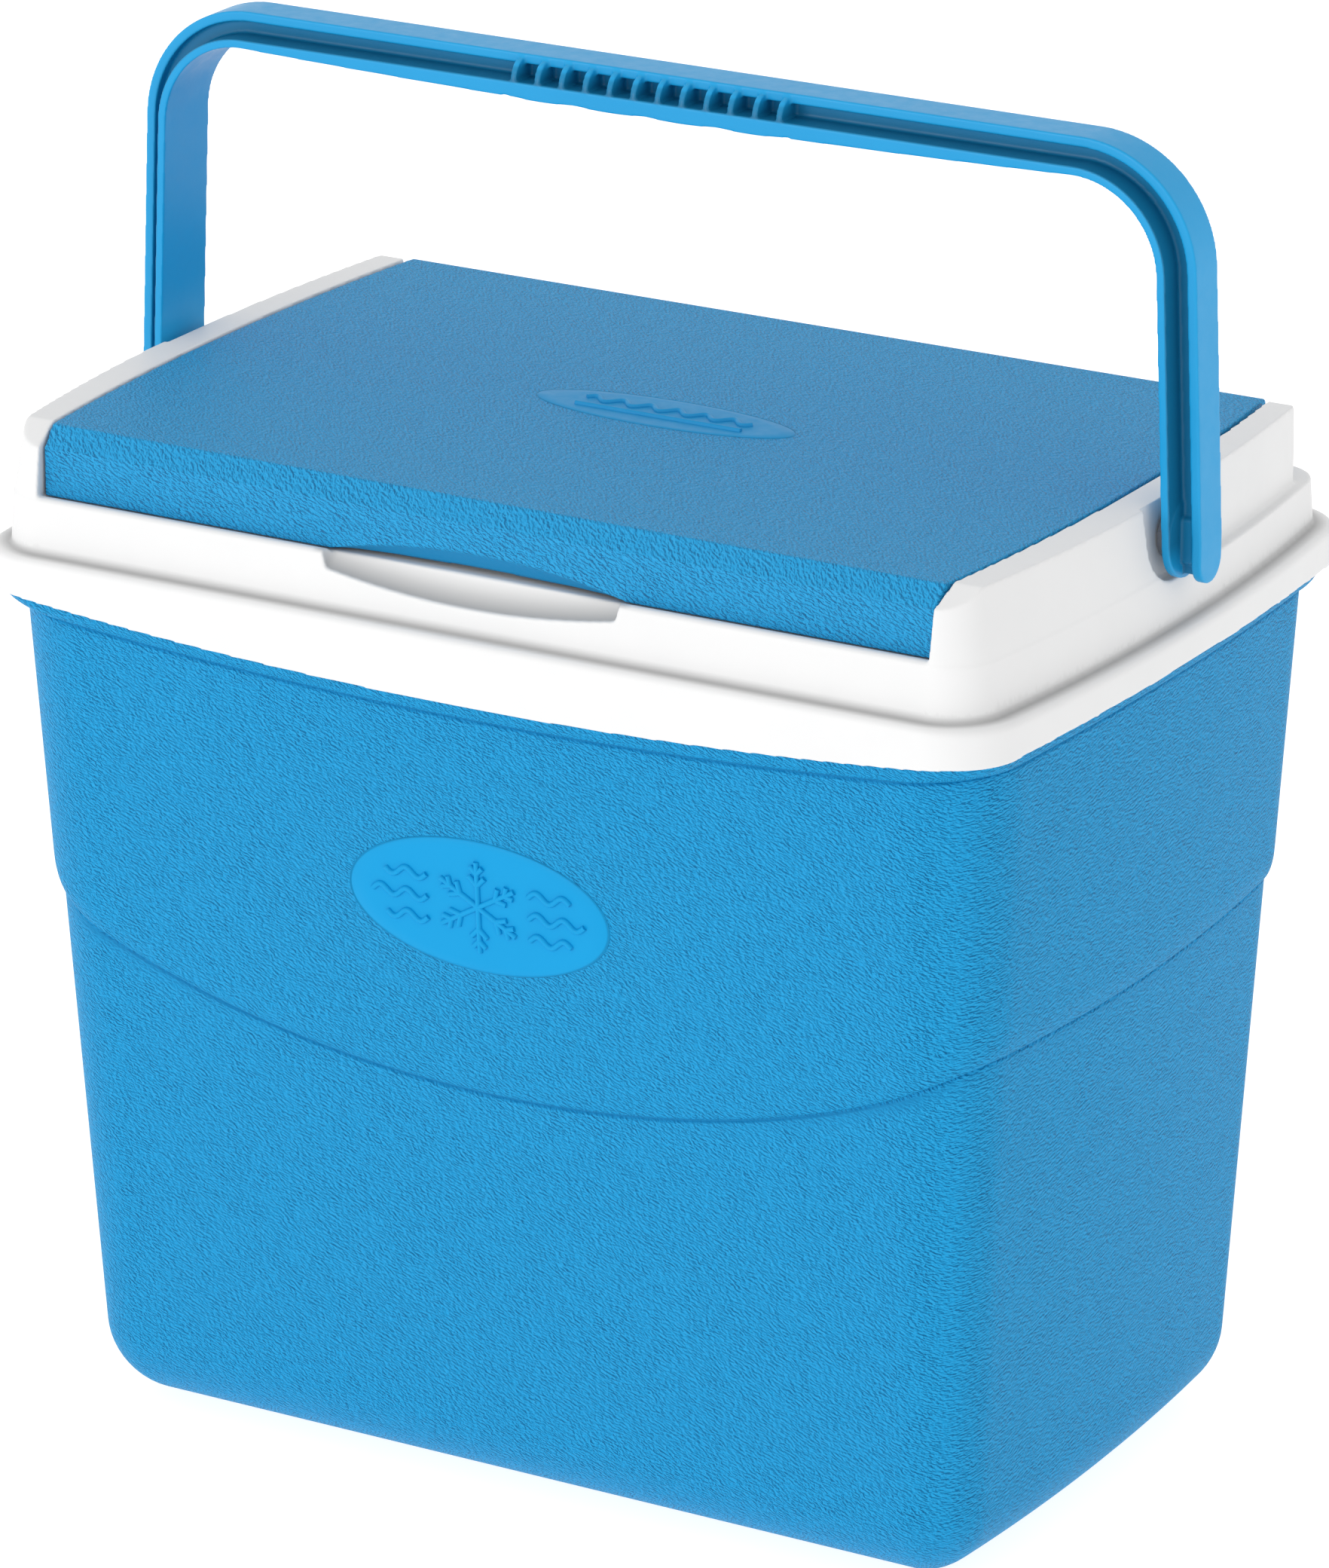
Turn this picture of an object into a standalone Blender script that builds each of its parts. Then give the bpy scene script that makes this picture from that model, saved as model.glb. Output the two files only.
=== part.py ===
"""Picnic cooler chest: insulated tub, white top frame, hinged lid and folding carry handle.

Metres, +Z up. The origin is at the centre of the base, +X runs along the long front and
-Y is the front. The handle stands upright and the lid is closed.
"""
import math

import bmesh
import bpy
from mathutils import Matrix, Vector

# ---------------------------------------------------------------- driving dimensions
GAP = 0.0003                    # clearance between pieces that rest on each other
BITE = 0.0005                   # how far shapes that are joined reach into each other

# collar of the top frame: the overall size in plan, which the other pieces are set out from
COLLAR_HALF_X = 0.170
COLLAR_HALF_Y = 0.1139
COLLAR_CORNER = 0.0205
COLLAR_BOW = 0.0085
COLLAR_TOP_Z = 0.2684
COLLAR_EDGE_Z = COLLAR_TOP_Z - 0.0114   # lower edge at the corners
COLLAR_FRONT_DIP = 0.0077       # the lower edge hangs lower in the middle of the long faces
COLLAR_SIDE_LIFT = 0.0020
COLLAR_WALL = 0.0028
COLLAR_ROUND = 0.0022

# tapered tub, outside: size at BODY_TOP_Z and at the base
BODY_TOP_Z = COLLAR_TOP_Z - 0.0305
BODY_HALF_X = COLLAR_HALF_X - 0.0091
BODY_HALF_Y = COLLAR_HALF_Y - 0.0092
BODY_CORNER = 0.026
BODY_BOW = 0.007
BASE_HALF_X = BODY_HALF_X - 0.0130
BASE_HALF_Y = BODY_HALF_Y - 0.0165
BASE_CORNER = 0.019
BASE_BOW = 0.004
BASE_FILLET = 0.0234
SHELL_WALL = 0.0024
FOOT_WIDTH = 0.016              # width of the ring that the cooler stands on
FOOT_RISE = 0.0026              # how far the base panel is raised above it
FLARE_HEIGHT = 0.0075           # band under the collar where the tub widens to meet it
FLARE_TOP_RISE = 0.0005

# draped step round the tub
STEP_LOW_Z = BODY_TOP_Z - 0.1075        # its lowest point, in the middle of the long faces
STEP_SAG = 0.0343               # how far it rises towards the corners, seen from the front
STEP_CORNER_RISE = 0.006
STEP_PROUD = 0.00165
STEP_HEIGHT = 0.004

# bezel and deck of the top frame
DECK_Z = COLLAR_TOP_Z + 0.0154  # shelf that the lid closes on
DECK_THICKNESS = 0.0030
BEZEL_TOP_Z = DECK_Z + 0.0010
BEZEL_INSET = 0.0055
BEZEL_WALL = 0.0032
BEZEL_DRAFT = 0.0010
LIP_WIDTH = 0.0030
LIP_ROUND = 0.0010
LIP_DRAFT = 0.0005
MOUTH_EDGE_ROUND = 0.0008

# side rails and the recesses that the handle folds into
RAIL_INNER_HALF_X = COLLAR_HALF_X - 0.0205
RAIL_INNER_BOW = 0.0074
RAIL_TOP_HALF_X = COLLAR_HALF_X - 0.0098
RAIL_REAR_Y = COLLAR_HALF_Y - 0.0204
RAIL_END_ROUND = 0.0032         # clears the inside of the folded handle's corner
RAIL_ROOT = 0.0012              # how deep the rails are rooted in the deck
RECESS_LOW_HALF_X = COLLAR_HALF_X - 0.0100      # recess wall at its floor and at its top
RECESS_TOP_HALF_X = COLLAR_HALF_X - 0.0112
RECESS_CORNER = 0.0120
RECESS_FLOOR_Z = DECK_Z - 0.0022
REAR_LEDGE_Y = COLLAR_HALF_Y - 0.0169

# lid
LID_FRONT_Y = -(COLLAR_HALF_Y - 0.0109)
LID_REAR_Y = COLLAR_HALF_Y - 0.01775
LID_HALF_X = RAIL_INNER_HALF_X - 0.0012
LID_BOW = RAIL_INNER_BOW * (0.5 * (LID_REAR_Y - LID_FRONT_Y) / COLLAR_HALF_Y) ** 2
LID_CORNER = 0.0030
LID_BOTTOM_Z = DECK_Z + 0.00055
LID_TOP_Z = LID_BOTTOM_Z + 0.01975
LID_BEVEL_DROP = 0.0056
LID_BEVEL_DEPTH = 0.0055
LID_REAR_ROUND = 0.0012
LID_SKIN = 0.0024
LID_AXIS_Y = LID_REAR_Y - 0.01215
LID_AXIS_Z = LID_BOTTOM_Z + (LID_REAR_Y - LID_AXIS_Y)
LID_ARCH_HALF_X = 0.0495        # sloping relief for the fingers under the front edge
LID_ARCH_RISE = 0.0062
LID_ARCH_INNER_RISE = 0.0012
LID_ARCH_DEPTH = 0.0027
LID_ARCH_BACKING = 0.0014       # extra wall behind it
LID_ARCH_BACKING_HEIGHT = 0.0048
PAN_Z = DECK_Z + 0.0034
PAN_THICKNESS = 0.0022
LID_PIN_RADIUS = 0.0030
LID_PIN_IN_LID = 0.0085
LID_PIN_IN_RAIL = 0.0050
PIN_PLAY = 0.0003
BOSS_LENGTH = 0.0130
BOSS_FRONT_Y = LID_AXIS_Y - 0.0068
BOSS_Z = PAN_Z + 0.0027
FILL_PLUG_RADIUS = 0.0060
FILL_PLUG_HEAD = 0.0085
FILL_PLUG_HEAD_THICKNESS = 0.0013

# rail tops, level with the lid
RAIL_TOP_Z = LID_TOP_Z + 0.0001
RAIL_FACET_Z = RAIL_TOP_Z - 0.0053      # where the sloping front end of a rail starts
RAIL_FACET_LENGTH = 0.0095

# finger pocket in the bezel: an arched sill, curving up to the deck
SCOOP_HALF_X = 0.0465
SCOOP_SIDE_LEAN = 0.0035
SCOOP_DEPTH = 0.0056
SCOOP_LOW_Z = BEZEL_TOP_Z - 0.0092
SCOOP_ARC_RISE = 0.0042
SCOOP_RISE = 0.0085
SCOOP_SIDE_PULL = 0.0015        # the pocket narrows by this towards its back
SCOOP_WALL = 0.0030

# mouth and inner liner
MOUTH_FRONT_Y = LID_FRONT_Y + 0.0149
MOUTH_REAR_Y = LID_AXIS_Y - 0.0075
MOUTH_HALF_X = LID_HALF_X - 0.0098
MOUTH_HALF_Y = 0.5 * (MOUTH_REAR_Y - MOUTH_FRONT_Y)
MOUTH_CENTRE_Y = 0.5 * (MOUTH_REAR_Y + MOUTH_FRONT_Y)
MOUTH_CORNER = 0.018
MOUTH_BOW = 0.0068
MOUTH_LIP_Z = COLLAR_TOP_Z + 0.0016
MOUTH_WALL = 0.0024
LINER_WALL = 0.0018
LINER_FLANGE = 0.0080
LINER_FLOOR_Z = 0.0270
LINER_FLOOR_HALF_X = MOUTH_HALF_X - 0.0140
LINER_FLOOR_HALF_Y = MOUTH_HALF_Y - 0.0143
LINER_FLOOR_CENTRE_Y = MOUTH_CENTRE_Y + 0.0038
LINER_FILLET = 0.012
FOAM_TOP_Z = COLLAR_TOP_Z - 0.0084
PLUG_GAP = 0.0030               # plug to mouth at the top of the plug
PLUG_TAPER = 0.0035
PLUG_BOTTOM_Z = COLLAR_TOP_Z - 0.0004
GASKET_INSET = 0.0010           # mouth edge to gasket
GASKET_WIDTH = 0.0045

# carry handle
INNER_FLANGE_HALF = 0.0117
INNER_FLANGE = 0.0025
OUTER_FLANGE_HALF = 0.0066
OUTER_FLANGE = 0.0029
WEB_FRONT = -0.0033
WEB_BACK = 0.0003
HANDLE_THICKNESS = 0.0096
HANDLE_GRIP_EXTRA = 0.0022      # the bar's lower flange is thicker in the middle
HANDLE_AXIS_Y = 0.0004
HANDLE_AXIS_Z = RECESS_FLOOR_Z + INNER_FLANGE_HALF + GAP
HANDLE_TOP_Z = HANDLE_AXIS_Z + COLLAR_HALF_Y - 0.0033   # folded, the bar ends inside the collar
HANDLE_FOOT_HALF_X = COLLAR_HALF_X + 0.0034     # outside of the legs at the pivots
HANDLE_LEAN = 0.043             # inward lean of the legs, in m per m of height
HANDLE_CORNER = 0.036
OUTER_FLANGE_END_Z = HANDLE_AXIS_Z - 0.0123
RECESS_FRONT_Y = HANDLE_AXIS_Y - INNER_FLANGE_HALF - 0.0037     # stops the upright handle
FINGER_PITCH = 0.0230
FINGER_COUNT = 4
FINGER_DEPTH = 0.0008
RIB_COUNT = 12
RIB_PITCH = 0.0078
RIB_THICKNESS = 0.0018
RIB_SET_BACK = 0.0002           # rib ends stay this much behind the flanges' front edges
RIB_BEND = 0.6                  # share of a rib's height at which its front edge bends
PIVOT_RADIUS = 0.0040
PIVOT_COLLAR_RADIUS = 0.0068
PIVOT_IN_RAIL = 0.0062
PIVOT_IN_LEG = 0.0058
PIVOT_BOSS_RADIUS = 0.0078
PIVOT_BOSS_SET_IN = 0.0010

# reach of the cutting blocks beyond the pieces that they cut
CUT_HALF_X = COLLAR_HALF_X + 0.030
CUT_HALF_Y = COLLAR_HALF_Y + 0.060
CUT_LOW_Z = COLLAR_TOP_Z - 0.020
CUT_HIGH_Z = RAIL_TOP_Z + 0.045
CUT_REACH = 0.010
OVERRUN = 1.2                   # outlines that only cut side walls are this much longer

# points round an outline: along each long face, along each short side, and in each corner
FINE = (14, 6, 5)
COARSE = (6, 4, 4)


# ---------------------------------------------------------------- scene helpers
def clear_scene():
    for obj in list(bpy.data.objects):
        bpy.data.objects.remove(obj, do_unlink=True)


def new_collection(name):
    collection = bpy.data.collections.new(name)
    bpy.context.scene.collection.children.link(collection)
    return collection


def plastic(name, colour, roughness):
    material = bpy.data.materials.new(name)
    material.use_nodes = True
    shader = material.node_tree.nodes["Principled BSDF"]
    shader.inputs["Base Color"].default_value = (*colour, 1.0)
    shader.inputs["Roughness"].default_value = roughness
    shader.inputs["Metallic"].default_value = 0.0
    return material


def add_mesh(name, bm, collection, material=None, origin=(0, 0, 0)):
    """Turn a bmesh in world coordinates into an object whose origin is at `origin`."""
    bmesh.ops.recalc_face_normals(bm, faces=bm.faces)
    bmesh.ops.translate(bm, verts=bm.verts, vec=-Vector(origin))
    mesh = bpy.data.meshes.new(name)
    bm.to_mesh(mesh)
    bm.free()
    obj = bpy.data.objects.new(name, mesh)
    obj.location = origin
    collection.objects.link(obj)
    if material:
        mesh.materials.append(material)
    return obj


def as_cutter(obj):
    obj.hide_render = True
    obj.display_type = "WIRE"
    return obj


def boolean(obj, other, operation="DIFFERENCE"):
    modifier = obj.modifiers.new(f"{operation.lower()} {other.name}", "BOOLEAN")
    modifier.operation = operation
    modifier.solver = "EXACT"
    modifier.object = other


# ---------------------------------------------------------------- shape helpers
def mix(a, b, t):
    return a + (b - a) * t


def outline(half_x, half_y, corner, bow, sampling=FINE, centre_y=0.0):
    """Rounded rectangle, anticlockwise, whose short sides bow outwards by `bow`."""
    long_steps, side_steps, corner_steps = sampling
    inner_x, inner_y = half_x - corner, half_y - corner
    inner_bow = bow * (inner_y / half_y) ** 2
    half = []
    for i in range(side_steps + 1):
        y = mix(-inner_y, inner_y, i / side_steps)
        slope = -2 * inner_bow * y / inner_y**2
        length = math.hypot(1.0, slope)
        x = inner_x - inner_bow * (y / inner_y) ** 2
        half.append((x + corner / length, y - corner * slope / length))
    start = math.atan2(half[-1][1] - inner_y, half[-1][0] - (inner_x - inner_bow))
    end_x = inner_x - inner_bow
    for i in range(1, corner_steps + 1):
        angle = mix(start, math.pi / 2, i / corner_steps)
        half.append((end_x + corner * math.cos(angle), inner_y + corner * math.sin(angle)))
    half += [(mix(end_x, -end_x, i / long_steps), half_y) for i in range(1, long_steps)]
    # the last corner before the opposite side belongs to the other half
    for i in range(corner_steps):
        angle = mix(math.pi / 2, math.pi - start, i / corner_steps)
        half.append((-end_x + corner * math.cos(angle), inner_y + corner * math.sin(angle)))
    points = half + [(-x, -y) for x, y in half]
    return [(x, y + centre_y) for x, y in points]


def ring(size, z, inset=0.0, sampling=FINE, centre_y=0.0):
    """An outline of (half_x, half_y, corner, bow), drawn in by `inset`, at height z(x, y)."""
    half_x, half_y, corner, bow = size
    corner = max(corner - inset, 0.0015)
    points = outline(half_x - inset, half_y - inset, corner, bow, sampling, centre_y)
    height = z if callable(z) else lambda x, y: z
    return [Vector((x, y, height(x, y))) for x, y in points]


def loft(bm, rings, closed=False):
    """Skin a list of rings of equal length; the ends are capped unless closed on itself."""
    loops = [[bm.verts.new(point) for point in points] for points in rings]
    pairs = list(zip(loops, loops[1:]))
    if closed:
        pairs.append((loops[-1], loops[0]))
    for low, high in pairs:
        for i in range(len(low)):
            j = (i + 1) % len(low)
            bm.faces.new((low[i], low[j], high[j], high[i]))
    if not closed:
        bm.faces.new(list(reversed(loops[0])))
        bm.faces.new(loops[-1])
    return bm


def loft_object(name, rings, collection, material=None, closed=False, origin=(0, 0, 0)):
    return add_mesh(name, loft(bmesh.new(), rings, closed), collection, material, origin)


def block(name, low, high, collection, turn=None):
    """A box between two corners, optionally turned about its centre by a matrix."""
    bm = bmesh.new()
    low, high = Vector(low), Vector(high)
    bmesh.ops.create_cube(bm, size=1.0)
    bmesh.ops.scale(bm, verts=bm.verts, vec=high - low)
    if turn:
        bmesh.ops.transform(bm, verts=bm.verts, matrix=turn)
    bmesh.ops.translate(bm, verts=bm.verts, vec=(low + high) / 2)
    return add_mesh(name, bm, collection)


def rod(bm, radius, start, end, segments=24):
    """A capped cylinder between two points, added to bm."""
    start, end = Vector(start), Vector(end)
    axis = end - start
    turn = axis.to_track_quat("Z", "Y").to_matrix().to_4x4()
    place = Matrix.Translation((start + end) / 2) @ turn
    bmesh.ops.create_cone(bm, cap_ends=True, segments=segments, radius1=radius,
                          radius2=radius, depth=axis.length, matrix=place)
    return bm


def prism_x(bm, profile, low_x, high_x):
    """Extrude a (y, z) profile from low_x to high_x."""
    return loft(bm, [[Vector((x, y, z)) for y, z in profile] for x in (low_x, high_x)])


# ---------------------------------------------------------------- tub
def body_size(z):
    """Outline of the tapered tub wall at height z."""
    t = z / BODY_TOP_Z
    return (mix(BASE_HALF_X, BODY_HALF_X, t), mix(BASE_HALF_Y, BODY_HALF_Y, t),
            mix(BASE_CORNER, BODY_CORNER, t), mix(BASE_BOW, BODY_BOW, t))


def body_ring(z, inset=0.0, sampling=FINE):
    """Ring on the tapered wall whose height z(x, y) may change round the tub."""
    if not callable(z):
        return ring(body_size(z), z, inset, sampling)
    guide = ring(body_size(BODY_TOP_Z), z, inset, sampling)
    return [ring(body_size(point.z), point.z, inset, sampling)[i]
            for i, point in enumerate(guide)]


def step_height(x, y):
    sag = STEP_SAG * (x / BODY_HALF_X) ** 2
    corner = (x / BODY_HALF_X) ** 4 * (y / BODY_HALF_Y) ** 2
    return STEP_LOW_Z + sag + STEP_CORNER_RISE * corner


def collar_edge(x, y):
    """Height of the collar's arched lower edge."""
    straight_x = COLLAR_HALF_X - COLLAR_BOW - COLLAR_CORNER / 2
    straight_y = COLLAR_HALF_Y - COLLAR_CORNER / 2
    if abs(y) > COLLAR_HALF_Y - COLLAR_CORNER * 0.7:
        return COLLAR_EDGE_Z - COLLAR_FRONT_DIP * max(0.0, 1 - (x / straight_x) ** 2)
    return COLLAR_EDGE_Z + COLLAR_SIDE_LIFT * max(0.0, 1 - (y / straight_y) ** 2)


def collar_size(inset=0.0):
    return (COLLAR_HALF_X - inset, COLLAR_HALF_Y - inset, COLLAR_CORNER - inset, COLLAR_BOW)


def fillet_rings(inset, base_z, steps, sampling):
    """Rings of the rounded edge between the base and the wall, from the base up."""
    radius = BASE_FILLET - inset
    rings = []
    for i in range(steps):
        angle = math.pi / 2 * i / steps
        z = base_z + radius * (1 - math.cos(angle))
        pull = radius * (1 - math.sin(angle))
        rings.append(ring(body_size(z), z, inset + pull, sampling))
    return rings


def make_outer_shell(collection, material):
    flare = collar_size(COLLAR_WALL + GAP)
    rim_z = COLLAR_TOP_Z - COLLAR_WALL - GAP
    panel_inset = BASE_FILLET + FOOT_WIDTH
    proud = -STEP_PROUD
    rings = [
        ring(body_size(0), FOOT_RISE, panel_inset + FOOT_RISE),
        ring(body_size(0), 0.0, panel_inset),
        *fillet_rings(0.0, 0.0, 4, FINE),
        body_ring(BASE_FILLET),
        body_ring(lambda x, y: step_height(x, y) - STEP_HEIGHT / 2),
        body_ring(lambda x, y: step_height(x, y) + STEP_HEIGHT / 2, proud),
        body_ring(lambda x, y: collar_edge(x, y) - FLARE_HEIGHT, proud),
    ]
    low = body_ring(lambda x, y: collar_edge(x, y) - FLARE_HEIGHT / 2, proud)
    high = ring(flare, lambda x, y: collar_edge(x, y) - FLARE_HEIGHT / 4)
    rings.append([a.lerp(b, 0.6) for a, b in zip(low, high)])
    rings.append(ring(flare, lambda x, y: collar_edge(x, y) + FLARE_TOP_RISE))
    rings.append(ring(flare, rim_z))
    rings.append(ring(flare, rim_z, SHELL_WALL))
    rings.append(ring(flare, lambda x, y: collar_edge(x, y) + FLARE_TOP_RISE, SHELL_WALL))
    wall = SHELL_WALL
    rings.append(body_ring(lambda x, y: collar_edge(x, y) - FLARE_HEIGHT, proud + wall))
    rings.append(body_ring(lambda x, y: step_height(x, y) + STEP_HEIGHT / 2, proud + wall))
    rings.append(body_ring(lambda x, y: step_height(x, y) - STEP_HEIGHT / 2, wall))
    rings.append(body_ring(BASE_FILLET, wall))
    rings += reversed(fillet_rings(wall, FOOT_RISE + wall, 3, FINE))
    return loft_object("outer_shell", rings, collection, material)


def liner_size(z, grow=0.0):
    """Inside outline of the liner at height z, and its centre in Y."""
    t = (z - LINER_FLOOR_Z) / (MOUTH_LIP_Z - LINER_FLOOR_Z)
    size = (mix(LINER_FLOOR_HALF_X, MOUTH_HALF_X, t) + grow,
            mix(LINER_FLOOR_HALF_Y, MOUTH_HALF_Y, t) + grow, MOUTH_CORNER + grow, MOUTH_BOW)
    return size, mix(LINER_FLOOR_CENTRE_Y, MOUTH_CENTRE_Y, t)


def liner_rings(grow, top_z, floor_z, sampling):
    """Rings down the liner's wall and round its bottom edge, from the top down."""
    rings = []
    for z in (top_z, floor_z + LINER_FILLET):
        size, centre = liner_size(z, grow)
        rings.append(ring(size, z, 0.0, sampling, centre))
    for i in (1, 2, 3):
        angle = math.pi / 2 * i / 3
        z = floor_z + LINER_FILLET * (1 - math.sin(angle))
        size, centre = liner_size(z, grow)
        rings.append(ring(size, z, LINER_FILLET * (1 - math.cos(angle)), sampling, centre))
    return rings


def make_inner_liner(collection, material):
    top = MOUTH_LIP_Z - GAP
    inside = liner_rings(0.0, top, LINER_FLOOR_Z, COARSE)
    outside = liner_rings(LINER_WALL, top - LINER_WALL, LINER_FLOOR_Z - LINER_WALL, COARSE)
    size, centre = liner_size(MOUTH_LIP_Z, LINER_FLANGE)
    flange = [ring(size, top - LINER_WALL, 0.0, COARSE, centre),
              ring(size, top, 0.0, COARSE, centre)]
    rings = list(reversed(outside)) + flange + inside
    return loft_object("inner_liner", rings, collection, material)


def make_body_foam(collection, material):
    inset = SHELL_WALL + GAP
    floor = FOOT_RISE + SHELL_WALL + GAP
    cavity = liner_rings(LINER_WALL + GAP, FOAM_TOP_Z, LINER_FLOOR_Z - LINER_WALL - GAP, COARSE)
    rings = [
        *fillet_rings(inset, floor, 3, COARSE),
        body_ring(BASE_FILLET, inset, COARSE),
        body_ring(lambda x, y: step_height(x, y) - STEP_HEIGHT, inset, COARSE),
        body_ring(FOAM_TOP_Z - COLLAR_FRONT_DIP, inset, COARSE),
        body_ring(FOAM_TOP_Z, inset, COARSE),
        *cavity,
    ]
    return loft_object("body_foam", rings, collection, material)


# ---------------------------------------------------------------- top frame
def mouth_ring(z, inset=0.0, sampling=FINE):
    size = (MOUTH_HALF_X, MOUTH_HALF_Y, MOUTH_CORNER, MOUTH_BOW)
    return ring(size, z, inset, sampling, MOUTH_CENTRE_Y)


def frame_ring():
    """Closed ring section of the frame: collar, ledge, bezel, deck and mouth."""
    collar = collar_size()
    bezel_top = BEZEL_INSET + BEZEL_DRAFT
    under_ledge = COLLAR_TOP_Z - COLLAR_WALL
    under_deck = DECK_Z - DECK_THICKNESS
    return [
        ring(collar, collar_edge),
        ring(collar, COLLAR_TOP_Z - COLLAR_ROUND),
        ring(collar, COLLAR_TOP_Z - COLLAR_ROUND * 0.3, COLLAR_ROUND * 0.3),
        ring(collar, COLLAR_TOP_Z, COLLAR_ROUND),
        ring(collar, COLLAR_TOP_Z, BEZEL_INSET),
        ring(collar, BEZEL_TOP_Z - LIP_ROUND, bezel_top),
        ring(collar, BEZEL_TOP_Z, bezel_top + LIP_ROUND),
        ring(collar, BEZEL_TOP_Z, bezel_top + LIP_WIDTH),
        ring(collar, DECK_Z, bezel_top + LIP_WIDTH + LIP_DRAFT),
        mouth_ring(DECK_Z, -MOUTH_EDGE_ROUND),
        mouth_ring(DECK_Z - MOUTH_EDGE_ROUND),
        mouth_ring(MOUTH_LIP_Z),
        mouth_ring(MOUTH_LIP_Z, -MOUTH_WALL),
        mouth_ring(under_deck, -MOUTH_WALL),
        ring(collar, under_deck, bezel_top + BEZEL_WALL),
        ring(collar, under_ledge, BEZEL_INSET + BEZEL_WALL),
        ring(collar, under_ledge, COLLAR_WALL),
        ring(collar, collar_edge, COLLAR_WALL),
    ]


def make_rails(cutters):
    """Both side rails as one block, with the lid's bay cut through front to back."""
    low_z = DECK_Z - RAIL_ROOT
    collar = collar_size()
    side = COLLAR_HALF_X - BEZEL_INSET
    top_pull = side - RAIL_TOP_HALF_X
    low = ring(collar, low_z, BEZEL_INSET + BEZEL_DRAFT)
    high = ring(collar, RAIL_TOP_Z, BEZEL_INSET + top_pull)
    rails = as_cutter(loft_object("rail_block", [low, high], cutters))
    bay_size = (RAIL_INNER_HALF_X, COLLAR_HALF_Y * OVERRUN, LID_CORNER,
                RAIL_INNER_BOW * OVERRUN**2)
    bay_rings = [ring(bay_size, z) for z in (CUT_LOW_Z, CUT_HIGH_Z)]
    boolean(rails, as_cutter(loft_object("lid_bay", bay_rings, cutters)))
    boolean(rails, make_rail_ends(cutters))
    return rails


def rail_end_arc():
    """Plan of the right rail's rounded outer rear corner, from the rear face forwards."""
    corner_x = RECESS_LOW_HALF_X - COLLAR_BOW * (RAIL_REAR_Y / COLLAR_HALF_Y) ** 2
    points = []
    for i in range(5):
        angle = math.pi / 2 * i / 4
        points.append((corner_x - RAIL_END_ROUND * (1 - math.sin(angle)),
                       RAIL_REAR_Y - RAIL_END_ROUND * (1 - math.cos(angle))))
    return points


def make_rail_ends(cutters):
    """Cutter behind both rails; it rounds their outer rear corners."""
    right = rail_end_arc()
    right.append((CUT_HALF_X, right[-1][1]))
    plan = [(-x, y) for x, y in reversed(right)] + right
    plan += [(CUT_HALF_X, CUT_HALF_Y), (-CUT_HALF_X, CUT_HALF_Y)]
    rings = [[Vector((x, y, z)) for x, y in plan] for z in (CUT_LOW_Z, CUT_HIGH_Z)]
    return as_cutter(loft_object("rail_rear_ends", rings, cutters))


def make_corner_clearance(side, cutters):
    """Cutter that lowers the deck behind a rail, where the folded handle's corner lies."""
    inner_x = RAIL_INNER_HALF_X - RAIL_INNER_BOW * (RAIL_REAR_Y / COLLAR_HALF_Y) ** 2
    right = rail_end_arc()
    plan = [(inner_x, RAIL_REAR_Y), *right, (CUT_HALF_X, right[-1][1]),
            (CUT_HALF_X, CUT_HALF_Y), (inner_x, CUT_HALF_Y)]
    rings = [[Vector((side * x, y, z)) for x, y in plan] for z in (RECESS_FLOOR_Z, CUT_HIGH_Z)]
    name = "right" if side > 0 else "left"
    return as_cutter(loft_object(f"corner_clearance_{name}", rings, cutters))


def make_recess(side, cutters):
    """Cutter for the slot that a handle leg stands and folds in; open to the rear."""
    name = "right" if side > 0 else "left"
    arc = []
    for i in range(6):
        angle = math.pi + math.pi / 2 * i / 5
        arc.append((RECESS_FRONT_Y + RECESS_CORNER * (1 + math.cos(angle)),
                    RECESS_FLOOR_Z + RECESS_CORNER * (1 + math.sin(angle))))
    profile = [(RECESS_FRONT_Y, CUT_HIGH_Z), *arc, (CUT_HALF_Y, RECESS_FLOOR_Z),
               (CUT_HALF_Y, CUT_HIGH_Z)]
    bm = bmesh.new()
    prism_x(bm, profile, side * (RECESS_TOP_HALF_X - 2 * CUT_REACH), side * CUT_HALF_X)
    slot = add_mesh(f"recess_{name}", bm, cutters)
    core_rings = []
    for z in (CUT_LOW_Z, CUT_HIGH_Z):
        size = (recess_wall_x(z), COLLAR_HALF_Y * OVERRUN, RECESS_CORNER, COLLAR_BOW * OVERRUN**2)
        core_rings.append(ring(size, z))
    core = as_cutter(loft_object(f"recess_core_{name}", core_rings, cutters))
    boolean(slot, core)
    return as_cutter(slot)


def make_scoop(cutters):
    """Cutter for the finger pocket in the front of the bezel."""
    face_y = -(COLLAR_HALF_Y - BEZEL_INSET - BEZEL_DRAFT / 2)
    sections = []
    for share in (-1.0, 0.0, 0.3, 0.6, 0.85, 1.0):
        depth = max(share, 0.0)
        lift = SCOOP_RISE * (1 - math.sqrt(1 - depth**2))
        half = SCOOP_HALF_X - SCOOP_SIDE_PULL * depth**2
        y = face_y + SCOOP_DEPTH * share
        section = []
        for i in range(15):
            x = mix(-half, half, i / 14)
            arc = SCOOP_ARC_RISE * (x / SCOOP_HALF_X) ** 2
            section.append(Vector((x, y, SCOOP_LOW_Z + arc + lift)))
        section += [Vector((half + SCOOP_SIDE_LEAN, y, BEZEL_TOP_Z + CUT_REACH)),
                    Vector((-half - SCOOP_SIDE_LEAN, y, BEZEL_TOP_Z + CUT_REACH))]
        sections.append(section)
    return as_cutter(loft_object("scoop_cutter", sections, cutters))


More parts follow.
